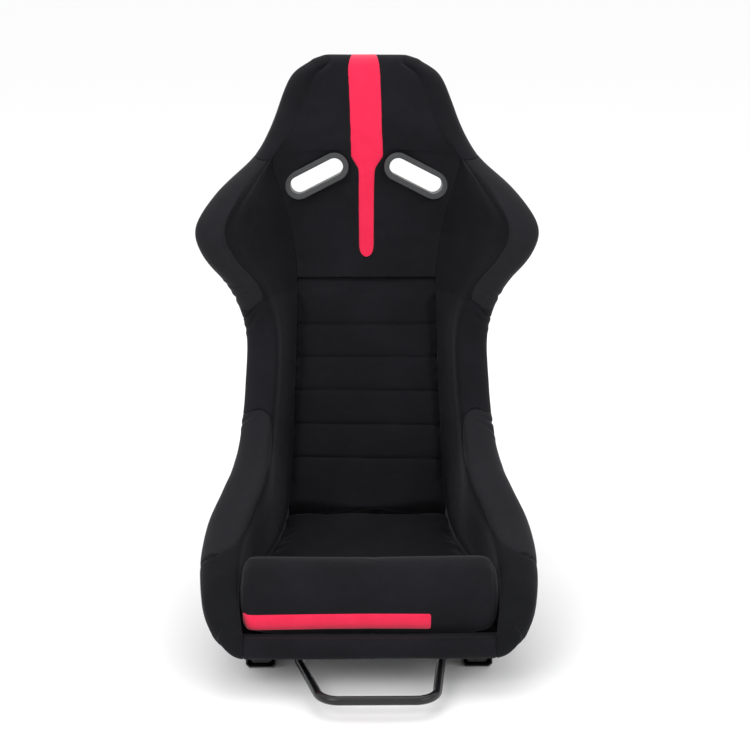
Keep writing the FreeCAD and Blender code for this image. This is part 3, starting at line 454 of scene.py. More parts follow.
FOOT_R = 2.5  # rounded edge where a side pad meets its neighbour in the middle
PANEL_R = 1.6  # rounded edge of the flat upper panels
HEM_R = 2.4  # rounded edge of a hem
ROLL_W = 6.2  # from here outwards a pad's ends are those of the roll along the rim
FOLD_W = (ROLL_W, 8.8)  # stretch over which a fold turns out of the straight


def turn_over(top, bottom, forward, reach, steps):
    """Rows of a half round turn from one edge line to another."""
    middle, half = 0.5 * (top + bottom), 0.5 * (top - bottom)
    angles = np.linspace(0, math.pi, steps + 2)[1:-1, None, None]
    return middle + half * np.cos(angles) + (reach * MM)[:, None] * np.sin(angles) * forward


def end_reach(w, at_front):
    """How far the cover stands beyond the shell's free edge, less and less towards the hem."""
    reach, power = (NOSE_REACH, 6) if at_front else (CROWN_REACH, 4)
    return reach * (1 - (np.abs(w) / HEM_W) ** power)


def wrapped_end(w, at_front):
    """Rows that carry a pad over the shell's free edge and a short way behind it."""
    edge = 0.0 if at_front else float(LAST)
    inwards = 1.0 if at_front else -1.0
    reach = end_reach(w, at_front)
    flap = edge + inwards * stations(0.0, FLAP, FLAP_ROWS)[:, None] + 0 * w[None, :]
    across = np.broadcast_to(w, flap.shape)
    outer, inner = under_face(flap, across, WRAP_T), under_face(flap, across, AIR)
    lean = math.radians(float(sections(edge)["lean"]))
    forward = -inwards * np.array([0.0, math.cos(lean), math.sin(lean)])
    start = np.full((1, len(w)), edge)
    top, glued = cover(start, w[None, :])[0], glued_face(start, w[None, :])[0]
    over = turn_over(top, outer[0], forward, reach, TURN_ROWS)
    under = turn_over(glued, inner[0], forward, GLUED_REACH * reach, TURN_ROWS)
    return np.concatenate((over, outer)), np.concatenate((under, inner))


class Pad:
    """Grid of one pad: where each point lies on the cover, its visible face and its glued face."""

    def __init__(self, first, last, share, w):
        """From one end to the other, both functions of w, with rows at shares of the way."""
        begin, finish = first(w), last(w)
        self.place = begin[None, :] + (finish - begin)[None, :] * share[:, None]
        self.w = np.broadcast_to(w, self.place.shape)
        self.front = relax(cover(self.place, self.w), 3)
        self.hidden = glued_face(self.place, self.w)

    def wrap(self, at_front):
        """Adds the rows that turn over the shell's free edge."""
        front, hidden = wrapped_end(self.w[0], at_front)
        beyond = np.linspace(0.0, 1.0, len(front) + 1)[1:, None] + 0 * self.place[:1]
        place = -beyond if at_front else LAST + beyond
        for name, rows in (("front", front), ("hidden", hidden), ("place", place)):
            grid = getattr(self, name)
            parts = (rows[::-1], grid) if at_front else (grid, rows)
            setattr(self, name, np.concatenate(parts))
        self.w = np.broadcast_to(self.w[0], self.place.shape)


def constant(value):
    """A pad's end that lies at one place all across."""
    return lambda w: np.full_like(w, value)


def hip_end(w):
    """The hip roll ends in a rounded lobe; the inner panel runs on."""
    lobe = np.exp(-((np.abs(w) - 7.2) / 0.7) ** 2)
    return HIP_FOLD + 0.06 * share_of(np.abs(w), *FOLD_W) + 0.16 * lobe


def neck_end(w):
    """The fold under the shoulder wing dips towards the hem."""
    return NECK_FOLD - 0.42 * eased(share_of(np.abs(w), *FOLD_W))


def cover_line(path, side):
    """Dense line of points on the cover through (place, w) stops."""
    place, w = dense_path(path)
    return cover(place[None, :], side * w[None, :])[0]


def outside_band(place, w, band):
    """True where a point lies on the rim side of a band seam."""
    path_place, path_w = dense_path(band)
    order = np.argsort(path_place)
    edge = np.interp(place, path_place[order], path_w[order], left=99.0, right=99.0)
    return np.abs(w) > edge


def pull_in(pad, edges, seams=(), creases=(), dips=()):
    """Rounds a pad's edges, draws its seams and creases in, and adds slow unevenness."""
    out = normals(pad.front)
    if ((pad.front - pad.hidden) * out).sum() < 0:
        out = -out
    away = border_distances(pad.front)
    pull = np.zeros(pad.front.shape[:2])
    for border, radius in edges.items():
        pull = np.maximum(pull, rolled(away[border], np.asarray(radius, float)))
    for line in seams:
        pull = pull + groove(line_distance(pad.front, line), *SEAM_PULL)
    for line in creases:
        pull = pull + wrinkle(line_distance(pad.front, line))
    for line in dips:
        depth, reach = DIP
        pull = pull + depth * np.exp(-line_distance(pad.front, line) / reach)
    pull = pull + cover_lumps(pad.front)
    pad.front = pad.front - out * (pull * MM)[..., None]


def side_columns(side):
    """Cross positions of a side pad's columns, closer round its seam, foot and hem."""
    columns = stations(FOOT_W, HEM_W, 96, ((SEAM_W, 0.5, 1.0), (FOOT_W, 0.15, 1.5), (HEM_W, 0.15, 1.0)))
    return side * columns if side > 0 else side * columns[::-1]


def by_column(w, inner, outer, start=ROLL_W):
    """Edge radius that changes from one side of a cross position to the other."""
    return (inner + (outer - inner) * eased(share_of(np.abs(w), start, start + 0.8)))[None, :]


def side_edges(side, foot, start, end):
    """Edge rolls of a side pad: its foot by the seat, its hem outside, and its two ends."""
    inner, outer = ("left", "right") if side > 0 else ("right", "left")
    return {inner: foot, outer: HEM_R, "start": start, "end": end}


def make_pad(name, pad, side=1, band=None):
    """Mesh of a pad; the attribute "band" tells the shader how far beyond the band seam a point lies, for
    the painted light on the outer band.
    """
    obj = closed_slab(name, pad.front, pad.hidden)
    tone = np.full(pad.front.shape[:2], -9.0)
    if band is not None:
        gap = line_distance(pad.front, cover_line(band, side))
        tone = np.where(outside_band(pad.place, pad.w, band), gap, -gap)
    add_values(obj, "band", tone.ravel())
    return obj


def wrinkle_lines(side, part):
    """Lines of one pad's wrinkles on the cover."""
    return [cover_line(path, side) for path in WRINKLES[side][part]]


def hip_pad(side, name):
    """Side padding of the pan, from under the front edge to the fold at the hip."""
    w = side_columns(side)
    pad = Pad(constant(0.0), hip_end, stations(0.0, 1.0, 250, ((0.235, 0.06, 0.8), (1.0, 0.02, 2.0))), w)
    pad.wrap(True)
    edges = side_edges(side, FOOT_R, start=2.0, end=by_column(w, 0.0, 1.8))
    pull_in(pad, edges, [cover_line(BOLSTER_BAND, side)], wrinkle_lines(side, "hip"))
    return make_pad(name, pad, side, BOLSTER_BAND)


def waist_pad(side, name):
    """Side padding between the hip and the shoulder wing."""
    w = side_columns(side)
    pad = Pad(hip_end, neck_end, stations(0.0, 1.0, 90, ((0.0, 0.04, 2.0), (1.0, 0.04, 2.0))), w)
    edges = side_edges(side, FOOT_R, start=by_column(w, 0.0, 1.5), end=by_column(w, 0.0, 2.5))
    pull_in(pad, edges, (), wrinkle_lines(side, "waist"))
    return make_pad(name, pad, side)


def shoulder_pad(side, name):
    """Padding of the shoulder wing, up to the head."""
    w = side_columns(side)
    share = stations(0.0, 1.0, 150, ((0.0, 0.03, 2.0), (1.0, 0.03, 2.0)))
    pad = Pad(neck_end, constant(HEAD_SEAM), share, w)
    foot = by_place(pad.place[:, :1], FOOT_R, PANEL_R)
    edges = side_edges(side, foot, start=by_column(w, 0.0, 3.0), end=PANEL_R)
    pull_in(pad, edges, [cover_line(WING_BAND, side)], wrinkle_lines(side, "wing"))
    return make_pad(name, pad, side, WING_BAND)


def by_place(place, below, above):
    """Edge radius that changes where the back cushion ends and the upper panel begins."""
    return below + (above - below) * share_of(place, BACK_TOP, BACK_TOP + 0.2)


def upper_back_pad(name):
    """Middle of the upper back, with the recesses of both belt slots."""
    share = stations(0.0, 1.0, 120, ((0.0, 0.03, 2.0),))
    w = stations(-FOOT_W, FOOT_W, 130, ((-3.0, 0.1, 2.0), (3.0, 0.1, 2.0)))
    pad = Pad(constant(BACK_TOP), constant(HEAD_SEAM), share, w)
    edges = {"left": PANEL_R, "right": PANEL_R, "start": FOOT_R}
    pull_in(pad, edges, stripe_seams(), dips=[slot_outline(side) for side in (1, -1)])
    obj = make_pad(name, pad)
    for side in (1, -1):
        cut_slot(obj, side)
    shade(obj)
    return obj


def head_pad(name):
    """Padding of the head, drawn tight over the shell's top edge."""
    share = stations(0.0, 1.0, 90, ((0.0, 0.03, 2.0), (1.0, 0.05, 1.0)))
    w = stations(-HEM_W, HEM_W, 190, ((-10.0, 0.2, 1.0), (10.0, 0.2, 1.0)))
    pad = Pad(constant(HEAD_SEAM), constant(float(LAST)), share, w)
    pad.wrap(False)
    pad.front = relax(pad.front, 24)
    edges = {"left": HEM_R, "right": HEM_R, "end": 2.0}
    edges["start"] = by_column(w, 0.0, 1.6, 2.8)
    pull_in(pad, edges, stripe_seams())
    return make_pad(name, pad)


def lip_pad(name):
    """Pad over the shell's front edge, under the front bolster."""
    share = stations(0.0, 1.0, 24)
    w = stations(-FOOT_W, FOOT_W, 150, ((-3.0, 0.1, 2.0), (3.0, 0.1, 2.0)))
    pad = Pad(constant(0.0), constant(LIP_END), share, w)
    pad.wrap(True)
    pull_in(pad, {"left": 1.2, "right": 1.2, "start": 2.0, "end": 3.0})
    return make_pad(name, pad)


# ---- belt slots
SLOT_X, SLOT_AT, SLOT_TILT = 85.0, 13.92, math.radians(27.0)
SLOT_HALF, BEZEL_R = 34.0, 24.5
CUT_DEPTHS = (-5.0, 120.0)  # from behind the padding to well above it


def slot_frame(side):
    """Centre and axes of a belt slot: along it, across it and out of the seat back."""
    below, here, above = (to_space(sections(SLOT_AT + step), 0.0, 0.0) for step in (-0.5, 0.0, 0.5))
    up = (above - below) / np.linalg.norm(above - below)
    out = np.cross([side, 0, 0], up) * side
    along = side * math.cos(SLOT_TILT) * np.array([1.0, 0, 0]) - up * math.sin(SLOT_TILT)
    centre = here + np.array([side * SLOT_X * MM, 0, 0])
    return centre, along, np.cross(out, along), out


def stadium(side, radius, depth, steps=40):
    """Closed slot-shaped outline at a height above the shell."""
    centre, along, across, out = slot_frame(side)
    points = []
    for end, start in ((1, -math.pi / 2), (-1, math.pi / 2)):
        for angle in np.linspace(start, start + math.pi, steps):
            a = end * SLOT_HALF + radius * math.cos(angle)
            b = radius * math.sin(angle)
            points.append(centre + (along * a + across * b + out * depth) * MM)
    return np.array(points)


def slot_outline(side):
    """Line where the cover dips to a bezel, laid on the cover."""
    place, x = locate(stadium(side, BEZEL_R, 0.0, 60))
    return cover(place[None, :], (x / (0.5 * sections(place)["seam_x"]))[None, :])[0]


def from_space(points, table):
    """How far points lie ahead of each place of a table and above the shell there, in mm."""
    sec = sections(table)
    lean = np.radians(sec["lean"])
    y, z = points[:, 1:2] / MM - sec["y"], points[:, 2:3] / MM - sec["z"]
    return y * np.cos(lean) + z * np.sin(lean), -y * np.sin(lean) + z * np.cos(lean)


def locate(points):
    """Place and sideways x in mm of points on or near the upper seat back."""
    table = np.arange(BACK_TOP, HEAD_SEAM + 1, TABLE_STEP)
    ahead, _ = from_space(points, table)
    return table[np.argmin(np.abs(ahead), axis=1)], points[:, 0] / MM


def cut_slot(obj, side):
    """Cuts the recess for a bezel through a pad."""
    low, high = (stadium(side, BEZEL_R - 0.4, depth) for depth in CUT_DEPTHS)
    cutter = mesh_object("slot_cutter", np.concatenate((low, high)), tube_faces(2, len(low)))
    modify(obj, "BOOLEAN", operation="DIFFERENCE", solver="EXACT", object=cutter)
    bpy.data.objects.remove(cutter)


def modify(obj, kind, **settings):
    """Adds a modifier to an object and applies it."""
    modifier = obj.modifiers.new(kind, kind)
    for name, value in settings.items():
        setattr(modifier, name, value)
    mesh = evaluated_mesh(obj)
    obj.modifiers.clear()
    obj.data = mesh


def evaluated_mesh(obj):
    """Mesh of an object as its modifiers make it."""
    return bpy.data.meshes.new_from_object(obj.evaluated_get(bpy.context.evaluated_depsgraph_get()))


# ---- stripes
STRIPE_WIDTHS = ((11.56, 1.0), (11.59, 5.0), (11.64, 8.3), (11.72, 10.6), (11.85, 12.0), (12.0, 12.3),
                 (14.0, 13.0), (14.2, 13.6), (14.32, 15.0), (14.7, 25.0), (14.78, 26.0), (LAST, 26.5))
STRIPE_DRIFT = ((11.5, 0.0), (13.5, 0.0), (14.8, 1.3), (LAST, -4.4))
STRIPE_LIFT = 1.0  # cloth thickness above the cover
STRIPE_ROUND = 1.6
STRIPE_UNDER = 1.2  # and how far the stripe reaches into the cover
STRIPE_OVER = 22  # rows of the cover's turn over the top that the stripe follows


def stripe_x(place):
    """Half width and sideways drift of the head stripe in mm."""
    half = np.interp(place, *zip(*STRIPE_WIDTHS))
    return half, np.interp(place, *zip(*STRIPE_DRIFT))


def stripe_w(place, share):
    """Cross position a share of the way from the stripe's middle (0) to its edges (-1 and 1)."""
    half, drift = stripe_x(place)
    return (drift + share * half) / (0.5 * sections(place)["seam_x"])


def stripe_seams():
    """Lines on the cover along both edges of the head stripe."""
    place = np.linspace(STRIPE_WIDTHS[0][0], LAST, 400)
    return [cover(place[None, :], stripe_w(place, share)[None, :])[0] for share in (-1.0, 1.0)]


def laid_on(grid, obj):
    """A grid of points moved to an object's surface, each point at its own x."""
    tree = BVHTree.FromObject(obj, bpy.context.evaluated_depsgraph_get())
    flat = [tree.find_nearest(Vector(point))[0] for point in grid.reshape(-1, 3)]
    laid = relax(np.array(flat).reshape(grid.shape), 4)
    laid[..., 0] = grid[..., 0]
    return laid


def head_stripe(name, head):
    """Coloured panel sewn down the middle of the head and upper back."""
    place = stations(STRIPE_WIDTHS[0][0], LAST, 260, ((11.6, 0.15, 3.0),))[:, None]
    share = np.linspace(-1, 1, 25)[None, :]
    w = stripe_w(place, share)
    front = cover(place + 0 * w, w)
    over, _ = wrapped_end(w[-1], False)
    front = np.concatenate((front, over[:STRIPE_OVER]))
    beyond = np.concatenate((place[:, 0], np.full(STRIPE_OVER, float(LAST))))
    on_head = share_of(beyond, HEAD_SEAM, HEAD_SEAM + 0.6)[:, None]
    bend = cover_lumps(front) * (1 - on_head)
    front = front + (laid_on(front, head) - front) * on_head[..., None]
    out = normals(front)
    if out[out.shape[0] // 2, out.shape[1] // 2, 1] > 0:
        out = -out
    away = border_distances(front)
    edge = np.minimum(np.minimum(away["left"], away["right"]), away["start"])
    top = front + out * ((STRIPE_LIFT - bend - rolled(edge, STRIPE_ROUND)) * MM)[..., None]
    base = front - out * ((bend + STRIPE_UNDER) * MM)[..., None]
    return closed_slab(name, top, base)


# ---- loose cushions
CHANNELS = (10.0, 9.40, 8.79, 8.13, 7.38)  # sewn channels of the back cushion, as places
CHANNEL_PULL = (5.0, 2.2)  # their depth and width
CHANNEL_SLANT = 0.03 / 2.6  # extra slant of a channel for each place it lies lower
PLACE_LENGTH = 98.0  # mm from one place to the next along the seat back
REFINE_LENGTH = 90.0  # the same between two steps of a table of places
CUSHION_CORNER = 16.0  # corner radius of a loose cushion
CUSHION_BASE = 5.0  # underside above the shell
CLOTH = {
    "quality": 6, "mass": 0.3, "tension_stiffness": 25, "compression_stiffness": 25,
    "bending_stiffness": 1.0, "use_pressure": True, "uniform_pressure_force": 4.0,
}
CLOTH_FRAMES = 20


def cushion_form(first, last, top, spread):
    """Starting block of a loose cushion lying on the shell, spread so that it presses on its neighbours."""
    place = np.linspace(first, last, 40)[:, None] + np.zeros((1, 25))
    share = np.linspace(-1, 1, 25)[None, :] + 0 * place
    sec = sections(place)
    sec["seam_x"] = sec["seam_x"] + spread - rolled((last - place) * PLACE_LENGTH, CUSHION_CORNER)
    sec["pad_d"] = sec["pad_d"] + top
    sec["seam_d"] = sec["seam_d"] + top
    x, depth = cross_curve(centre_controls(sec), np.abs(share) * FOOT_W)
    width = np.minimum(sec["seam_x"], sec["pan"] - 4)
    back = to_space(sec, share * width, CUSHION_BASE + 0 * depth)
    return slab_form(to_space(sec, np.sign(share) * x, depth), back)


def inflate(obj, cap):
    """Swells a closed cover by cloth simulation; no point moves further than cap (mm)."""
    start = coordinates(obj.data)
    settings = obj.modifiers.new("cloth", "CLOTH").settings
    for name, value in CLOTH.items():
        setattr(settings, name, value)
    settings.effector_weights.gravity = 0.0
    for step in range(1, CLOTH_FRAMES + 1):
        bpy.context.scene.frame_set(step)
    move = coordinates(evaluated_mesh(obj)) - start
    length = np.linalg.norm(move, axis=1, keepdims=True) + 1e-12
    limit = cap * MM
    obj.modifiers.clear()
    bpy.context.scene.frame_set(1)
    set_coordinates(obj, start + move / length * limit * np.tanh(length / limit))


def read_vectors(source, field):
    """Array of one vector for each element of a mesh layer."""
    values = np.zeros(len(source) * 3)
    source.foreach_get(field, values)
    return values.reshape(-1, 3)


def coordinates(mesh):
    """A mesh's points in metres."""
    return read_vectors(mesh.vertices, "co")


def set_coordinates(obj, points):
    """Moves an object's points."""
    obj.data.vertices.foreach_set("co", points.ravel())
    obj.data.update()


def press(obj, pull):
    """Moves each point inwards along its normal by so many mm."""
    inwards = read_vectors(obj.data.vertex_normals, "vector")
    set_coordinates(obj, coordinates(obj.data) - inwards * (pull * MM)[:, None])


def swell(obj, voxel, cap):
    """Remeshes a block and swells it into a soft form."""
    modify(obj, "REMESH", mode="VOXEL", voxel_size=voxel)
    modify(obj, "SMOOTH", factor=0.5, iterations=3)
    inflate(obj, cap)
    modify(obj, "SMOOTH", factor=0.5, iterations=2)
    modify(obj, "SUBSURF", levels=1, render_levels=1)


def cushion_places(points, first, last):
    """Place, sideways x and depth in mm of cushion points."""
    table = np.arange(first - 0.3, last + 0.3, TABLE_STEP)
    ahead, depth = from_space(points, table)
    miss = np.abs(ahead) + np.where((depth > -20) & (depth < 80), 0.0, 1e4)
    best = np.argmin(miss, axis=1)
    rows = np.arange(len(points))
    return table[best] + ahead[rows, best] / REFINE_LENGTH, points[:, 0] / MM, depth[rows, best]


def seat_cushion(name):
    """Flat cushion on the pan, its front under the bolster."""
    obj = mesh_object(name, *cushion_form(2.34, 6.16, top=-4.0, spread=8.0))
    swell(obj, voxel=0.006, cap=9.0)
    press(obj, lumps(coordinates(obj.data), 0.09, 0.8, 3))
    shade(obj)
    return obj


def back_cushion(name):
    """Long cushion up the back with sewn channels across it."""
    obj = mesh_object(name, *cushion_form(6.12, BACK_TOP + 0.05, top=0.0, spread=14.0))
    swell(obj, voxel=0.005, cap=9.0)
    at = coordinates(obj.data)
    place, x, depth = cushion_places(at, 6.0, BACK_TOP + 0.1)
    pull = lumps(at, 0.09, 0.6, 3)
    shown = share_of(depth, 14.0, 24.0)
    for channel in CHANNELS:
        line = channel - CHANNEL_SLANT * (CHANNELS[0] - channel) * (x / 120.0)
        pull = pull + shown * groove(np.abs(place - line) * PLACE_LENGTH, *CHANNEL_PULL)
    press(obj, pull)
    shade(obj)
    return obj


# ---- front bolster
# Side view of the bolster, as (y, z).
ROLL_CURVE = (
    (-250, 86), (-268, 92.5), (-277, 104), (-278, 122), (-270, 147), (-252, 170), (-226, 186),
    (-196, 192), (-167, 182), (-147, 155), (-135, 121), (-131, 94), (-135, 73), (-170, 72), (-205, 72),
    (-213, 85),
)
ROLL_X = (-194.5, 197.0)
ROLL_ROUND = (13.0, 22.0)  # how far the left and right ends are rounded off
ROLL_HALF = 62.0  # usual distance from the block's middle to its surface
ROLL_SEAMS = ((ROLL_X[0] + 5.0, 1.6), (ROLL_X[1] - 6.0, 2.2))  # x and depth
ROLL_STRIPE_X, ROLL_STRIPE_Z = (-193.0, 93.5), (96.5, 125.0)
ROLL_STRIPE_ROUND, ROLL_STRIPE_UNDER = 1.4, 1.5


def roll_block(inset):
    """Closed D-shaped block along the front edge, its outline shrunk by inset mm and more at its ends."""
    outline = np.array(ROLL_CURVE, float)
    middle = outline.mean(axis=0)
    xs = np.linspace(*ROLL_X, 120)
    points = []
    for x in xs:
        shrink = inset + rolled(x - ROLL_X[0], ROLL_ROUND[0]) + rolled(ROLL_X[1] - x, ROLL_ROUND[1])
        points += [(x * MM, y * MM, z * MM) for y, z in outline + (middle - outline) * (shrink / ROLL_HALF)]
    return points, tube_faces(len(xs), len(outline))


def thigh_roll(name):
    """Front bolster with a seam round each end."""
    obj = mesh_object(name, *roll_block(4.0))
    fix_normals(obj)
    swell(obj, voxel=0.005, cap=6.5)
    at = coordinates(obj.data)
    pull = lumps(at, 0.08, 0.7, 4)
    for seam, depth in ROLL_SEAMS:
        pull = pull + groove(np.abs(at[:, 0] / MM - seam), depth, 1.8)
    press(obj, pull)
    shade(obj)
    return obj


def fix_normals(obj):
    """Turns every face of a closed mesh outwards."""
    form = bmesh.new()
    form.from_mesh(obj.data)
    bmesh.ops.recalc_face_normals(form, faces=form.faces)
    form.to_mesh(obj.data)
    form.free()


def roll_stripe(name, roll):
    """Coloured strip sewn along the lower front of the bolster, with rounded corners."""
    tree = BVHTree.FromObject(roll, bpy.context.evaluated_depsgraph_get())
    columns, rows = 220, 22
    top, base = np.zeros((rows, columns, 3)), np.zeros((rows, columns, 3))
    for c, x in enumerate(np.linspace(*ROLL_STRIPE_X, columns)):
        left, right = x - ROLL_STRIPE_X[0], ROLL_STRIPE_X[1] - x
        low = ROLL_STRIPE_Z[0] + rolled(left, 11.0) + rolled(right, 4.0)
        high = ROLL_STRIPE_Z[1] - rolled(left, 3.0) - rolled(right, 4.0)
        for r, z in enumerate(np.linspace(low, high, rows)):
            hit, normal = surface_ahead(tree, Vector((x * MM, -0.5, z * MM)), Vector((0, 1, 0)))
            lift = STRIPE_LIFT - rolled(min(left, right, z - low, high - z), ROLL_STRIPE_ROUND)
            top[r, c] = hit + normal * lift * MM
            base[r, c] = hit - normal * ROLL_STRIPE_UNDER * MM
    return closed_slab(name, top, base)


def surface_ahead(tree, start, direction):
    """Point and normal where a ray meets a form, or the nearest point if it just misses."""
    hit, normal, _, _ = tree.ray_cast(start, direction)
    if hit is None:
        hit, normal, _, _ = tree.find_nearest(start + direction * 0.25)
    return hit, normal


# ---- trim bead
BEAD_R = 2.3
BEAD_FLAT = 0.9  # its thickness as a share of its width
BEAD_SIDES = 14
BEAD_BELOW_HEM = 3.2
BEAD_OFF = (2.2, 4.2)  # bead's centre and a point outside it, from the shell
BEAD_FROM, BEAD_TO = 0.35, LAST - 0.75  # places where it starts and stops


def trim_bead(name, side):
    """Rubber bead along the hem of the cover outside the shell, thinning out at both ends."""
    place = stations(BEAD_FROM, BEAD_TO, 300)
    sec = sections(place)
    hem = wrap_end(sec, BEAD_BELOW_HEM)
    lines = (wall(sec, hem, SHELL_T + off) for off in BEAD_OFF)
    centre, outer = (to_space(sec, side * x, depth) for x, depth in lines)
    out = unit(outer - centre)
    across = np.cross(unit(np.gradient(centre, axis=0)), out)
    thin = share_of(np.minimum(place - BEAD_FROM, BEAD_TO - place), 0.0, 0.12)
    radius = BEAD_R * (0.25 + 0.75 * np.sqrt(thin))[:, None] * MM
    turns = np.arange(BEAD_SIDES) * (2 * math.pi / BEAD_SIDES)
    rings = [centre + (out * math.cos(a) * BEAD_FLAT + across * math.sin(a)) * radius for a in turns]
    points = np.stack(rings, axis=1).reshape(-1, 3)
    obj = mesh_object(name, points, tube_faces(len(place), BEAD_SIDES))
    fix_normals(obj)
    shade(obj)
    return obj


# ---- materials
class Recipe:
    """Small helper for writing node materials."""

    def __init__(self, name):
        self.material = bpy.data.materials.new(name)
        self.material.use_nodes = True
        self.tree = self.material.node_tree
        self.shader = self.tree.nodes["Principled BSDF"]
        self.place = self.add("ShaderNodeTexCoord").outputs["Object"]

    def add(self, kind, **values):
        node = self.tree.nodes.new(kind)
        for key, value in values.items():
            setattr(node, key, value)
        return node

    def link(self, source, target):
        self.tree.links.new(source, target)

    def set(self, **values):
        """Shader inputs by name, with _ for a space."""
        for key, value in values.items():
            self.shader.inputs[key.replace("_", " ")].default_value = value

    def noise(self, scale, detail=3.0, roughness=0.5, stretch=None):
        node = self.add("ShaderNodeTexNoise")
        node.inputs["Scale"].default_value = scale
        node.inputs["Detail"].default_value = detail
        node.inputs["Roughness"].default_value = roughness
        source = self.place
        if stretch:
            mapping = self.add("ShaderNodeMapping")
            mapping.inputs["Scale"].default_value = stretch
            self.link(self.place, mapping.inputs["Vector"])
            source = mapping.outputs["Vector"]
        self.link(source, node.inputs["Vector"])
        return node.outputs["Fac"]

    def ramp(self, factor, stops):
        """Colour ramp; each stop is (position, grey level or colour)."""
        node = self.add("ShaderNodeValToRGB")
        elements = node.color_ramp.elements
        while len(elements) < len(stops):
            elements.new(0.5)
        for element, (position, value) in zip(elements, stops):
            element.position = position
            element.color = (value, value, value, 1) if isinstance(value, float) else (*value, 1)
        self.link(factor, node.inputs["Fac"])
        return node.outputs["Color"]

    def mix(self, factor, a, b, blend="MIX"):
        node = self.add("ShaderNodeMix", data_type="RGBA", blend_type=blend)
        for index, value in ((0, factor), (6, a), (7, b)):
            if isinstance(value, (int, float)):
                node.inputs[index].default_value = value
            elif isinstance(value, tuple):
                node.inputs[index].default_value = (*value, 1)
            else:
                self.link(value, node.inputs[index])
        return node.outputs[2]

    def bump(self, height, distance, strength=1.0, under=None):
        node = self.add("ShaderNodeBump")
        node.inputs["Distance"].default_value = distance
        node.inputs["Strength"].default_value = strength
        self.link(height, node.inputs["Height"])
        if under is not None:
            self.link(under, node.inputs["Normal"])
        return node.outputs["Normal"]

    def finish(self, color=None, roughness=None, normal=None):
        if color is not None:
            self.link(color, self.shader.inputs["Base Color"])
        if roughness is not None:
            self.link(roughness, self.shader.inputs["Roughness"])
        if normal is not None:
            self.link(normal, self.shader.inputs["Normal"])
        return self.material


def velour(name, dark, light, sheen, band=None):
    """Short-pile velour: fibre grain, brushed patches and a soft edge glow; a band colour paints light onto
    the outer band.
    """
    m = Recipe(name)
    fibres = m.noise(1500.0, 2.0, 0.6)
    brushed = m.noise(11.0, 3.0, 0.55)
    patches = m.noise(45.0, 4.0, 0.6)
    tone = m.mix(m.ramp(brushed, ((0.35, 0.0), (0.68, 1.0))), dark, light)
    tone = m.mix(m.ramp(patches, ((0.4, 0.0), (0.75, 0.35))), tone, light)
    # Beyond the band seam the tone is mixed halfway towards the band colour: painted light where the band
    # faces up and out.
    if band is not None:
        seam = m.add("ShaderNodeAttribute", attribute_name="band")
        outer = m.ramp(seam.outputs["Fac"], ((0.0, 0.0), (0.4, 1.0)))
        tone = m.mix(outer, tone, m.mix(0.5, tone, band))
    tone = m.mix(0.55, tone, m.mix(1.0, tone, m.ramp(fibres, ((0.3, 0.55), (0.7, 1.4))), "MULTIPLY"))
    coarse = m.bump(m.noise(330.0, 3.0, 0.6), 0.0006, 0.5)
    normal = m.bump(fibres, 0.0004, 0.6, coarse)
    m.set(Sheen_Weight=sheen, Sheen_Roughness=0.35, Sheen_Tint=(0.75, 0.72, 0.78, 1))
    m.set(Specular_IOR_Level=0.12)
    rough = m.ramp(patches, ((0.3, 0.82), (0.7, 0.97)))
    return m.finish(tone, rough, normal)


def woven(name, color, deep):
    """Flat woven cloth for the coloured stripes."""
    m = Recipe(name)
    waves = []
    for axis in ("X", "Z"):
        wave = m.add("ShaderNodeTexWave", wave_type="BANDS", bands_direction=axis)
        wave.inputs["Scale"].default_value = 420.0
        wave.inputs["Distortion"].default_value = 0.6
        m.link(m.place, wave.inputs["Vector"])
        waves.append(wave.outputs["Color"])
    weave = m.mix(0.5, waves[0], waves[1])
    patches = m.noise(30.0, 4.0, 0.6)
    tone = m.mix(m.ramp(patches, ((0.35, 0.0), (0.75, 1.0))), color, deep)
    tone = m.mix(0.25, tone, m.mix(1.0, tone, weave, "MULTIPLY"))
    normal = m.bump(weave, 0.0003, 0.5, m.bump(m.noise(900.0), 0.0003, 0.4))
    m.set(Sheen_Weight=0.25, Roughness=0.85, Specular_IOR_Level=0.2)
    return m.finish(tone, None, normal)


def hard_plastic(name, color, roughness, grain, grain_depth=0.00015):
    """Moulded plastic with a fine etched grain and faint rub marks."""
    m = Recipe(name)
    etched = m.noise(grain, 2.0, 0.5)
    rubbed = m.noise(24.0, 4.0, 0.65)
    lighter = tuple(min(1.0, c * 1.5 + 0.01) for c in color)
    tone = m.mix(m.ramp(rubbed, ((0.45, 0.0), (0.8, 0.6))), color, lighter)
    rough = m.ramp(rubbed, ((0.3, roughness - 0.06), (0.75, roughness + 0.12)))
    return m.finish(tone, rough, m.bump(etched, grain_depth, 0.5))


def gelcoat(name, color):
    """Glossy moulded shell: black gel coat with slight orange peel and dust."""
    m = Recipe(name)
    peel = m.noise(140.0, 2.0, 0.4)
    dust = m.noise(9.0, 5.0, 0.65)
    tone = m.mix(m.ramp(dust, ((0.5, 0.0), (0.85, 0.5))), color, tuple(c * 2.5 + 0.01 for c in color))
    rough = m.ramp(dust, ((0.35, 0.2), (0.8, 0.42)))
    m.set(Coat_Weight=0.2, Coat_Roughness=0.08, Specular_IOR_Level=0.35)
    return m.finish(tone, rough, m.bump(peel, 0.0004, 0.25))


def metal(name, color, roughness, brush=(60.0, 3.0, 60.0), metallic=1.0, grain=18.0):
    """Plated or painted steel with rolling marks along its length and mottled patches."""
    m = Recipe(name)
    marks = m.noise(grain, 4.0, 0.6, brush)
    mottled = m.noise(35.0, 4.0, 0.6)
    worn = tuple(min(1.0, c * 0.6) for c in color)
    tone = m.mix(m.ramp(mottled, ((0.4, 0.0), (0.8, 0.7))), color, worn)
    rough = m.ramp(marks, ((0.3, max(0.03, roughness - 0.07)), (0.7, roughness + 0.13)))
    m.set(Metallic=metallic)
    return m.finish(tone, rough, m.bump(marks, 0.0001, 0.35))


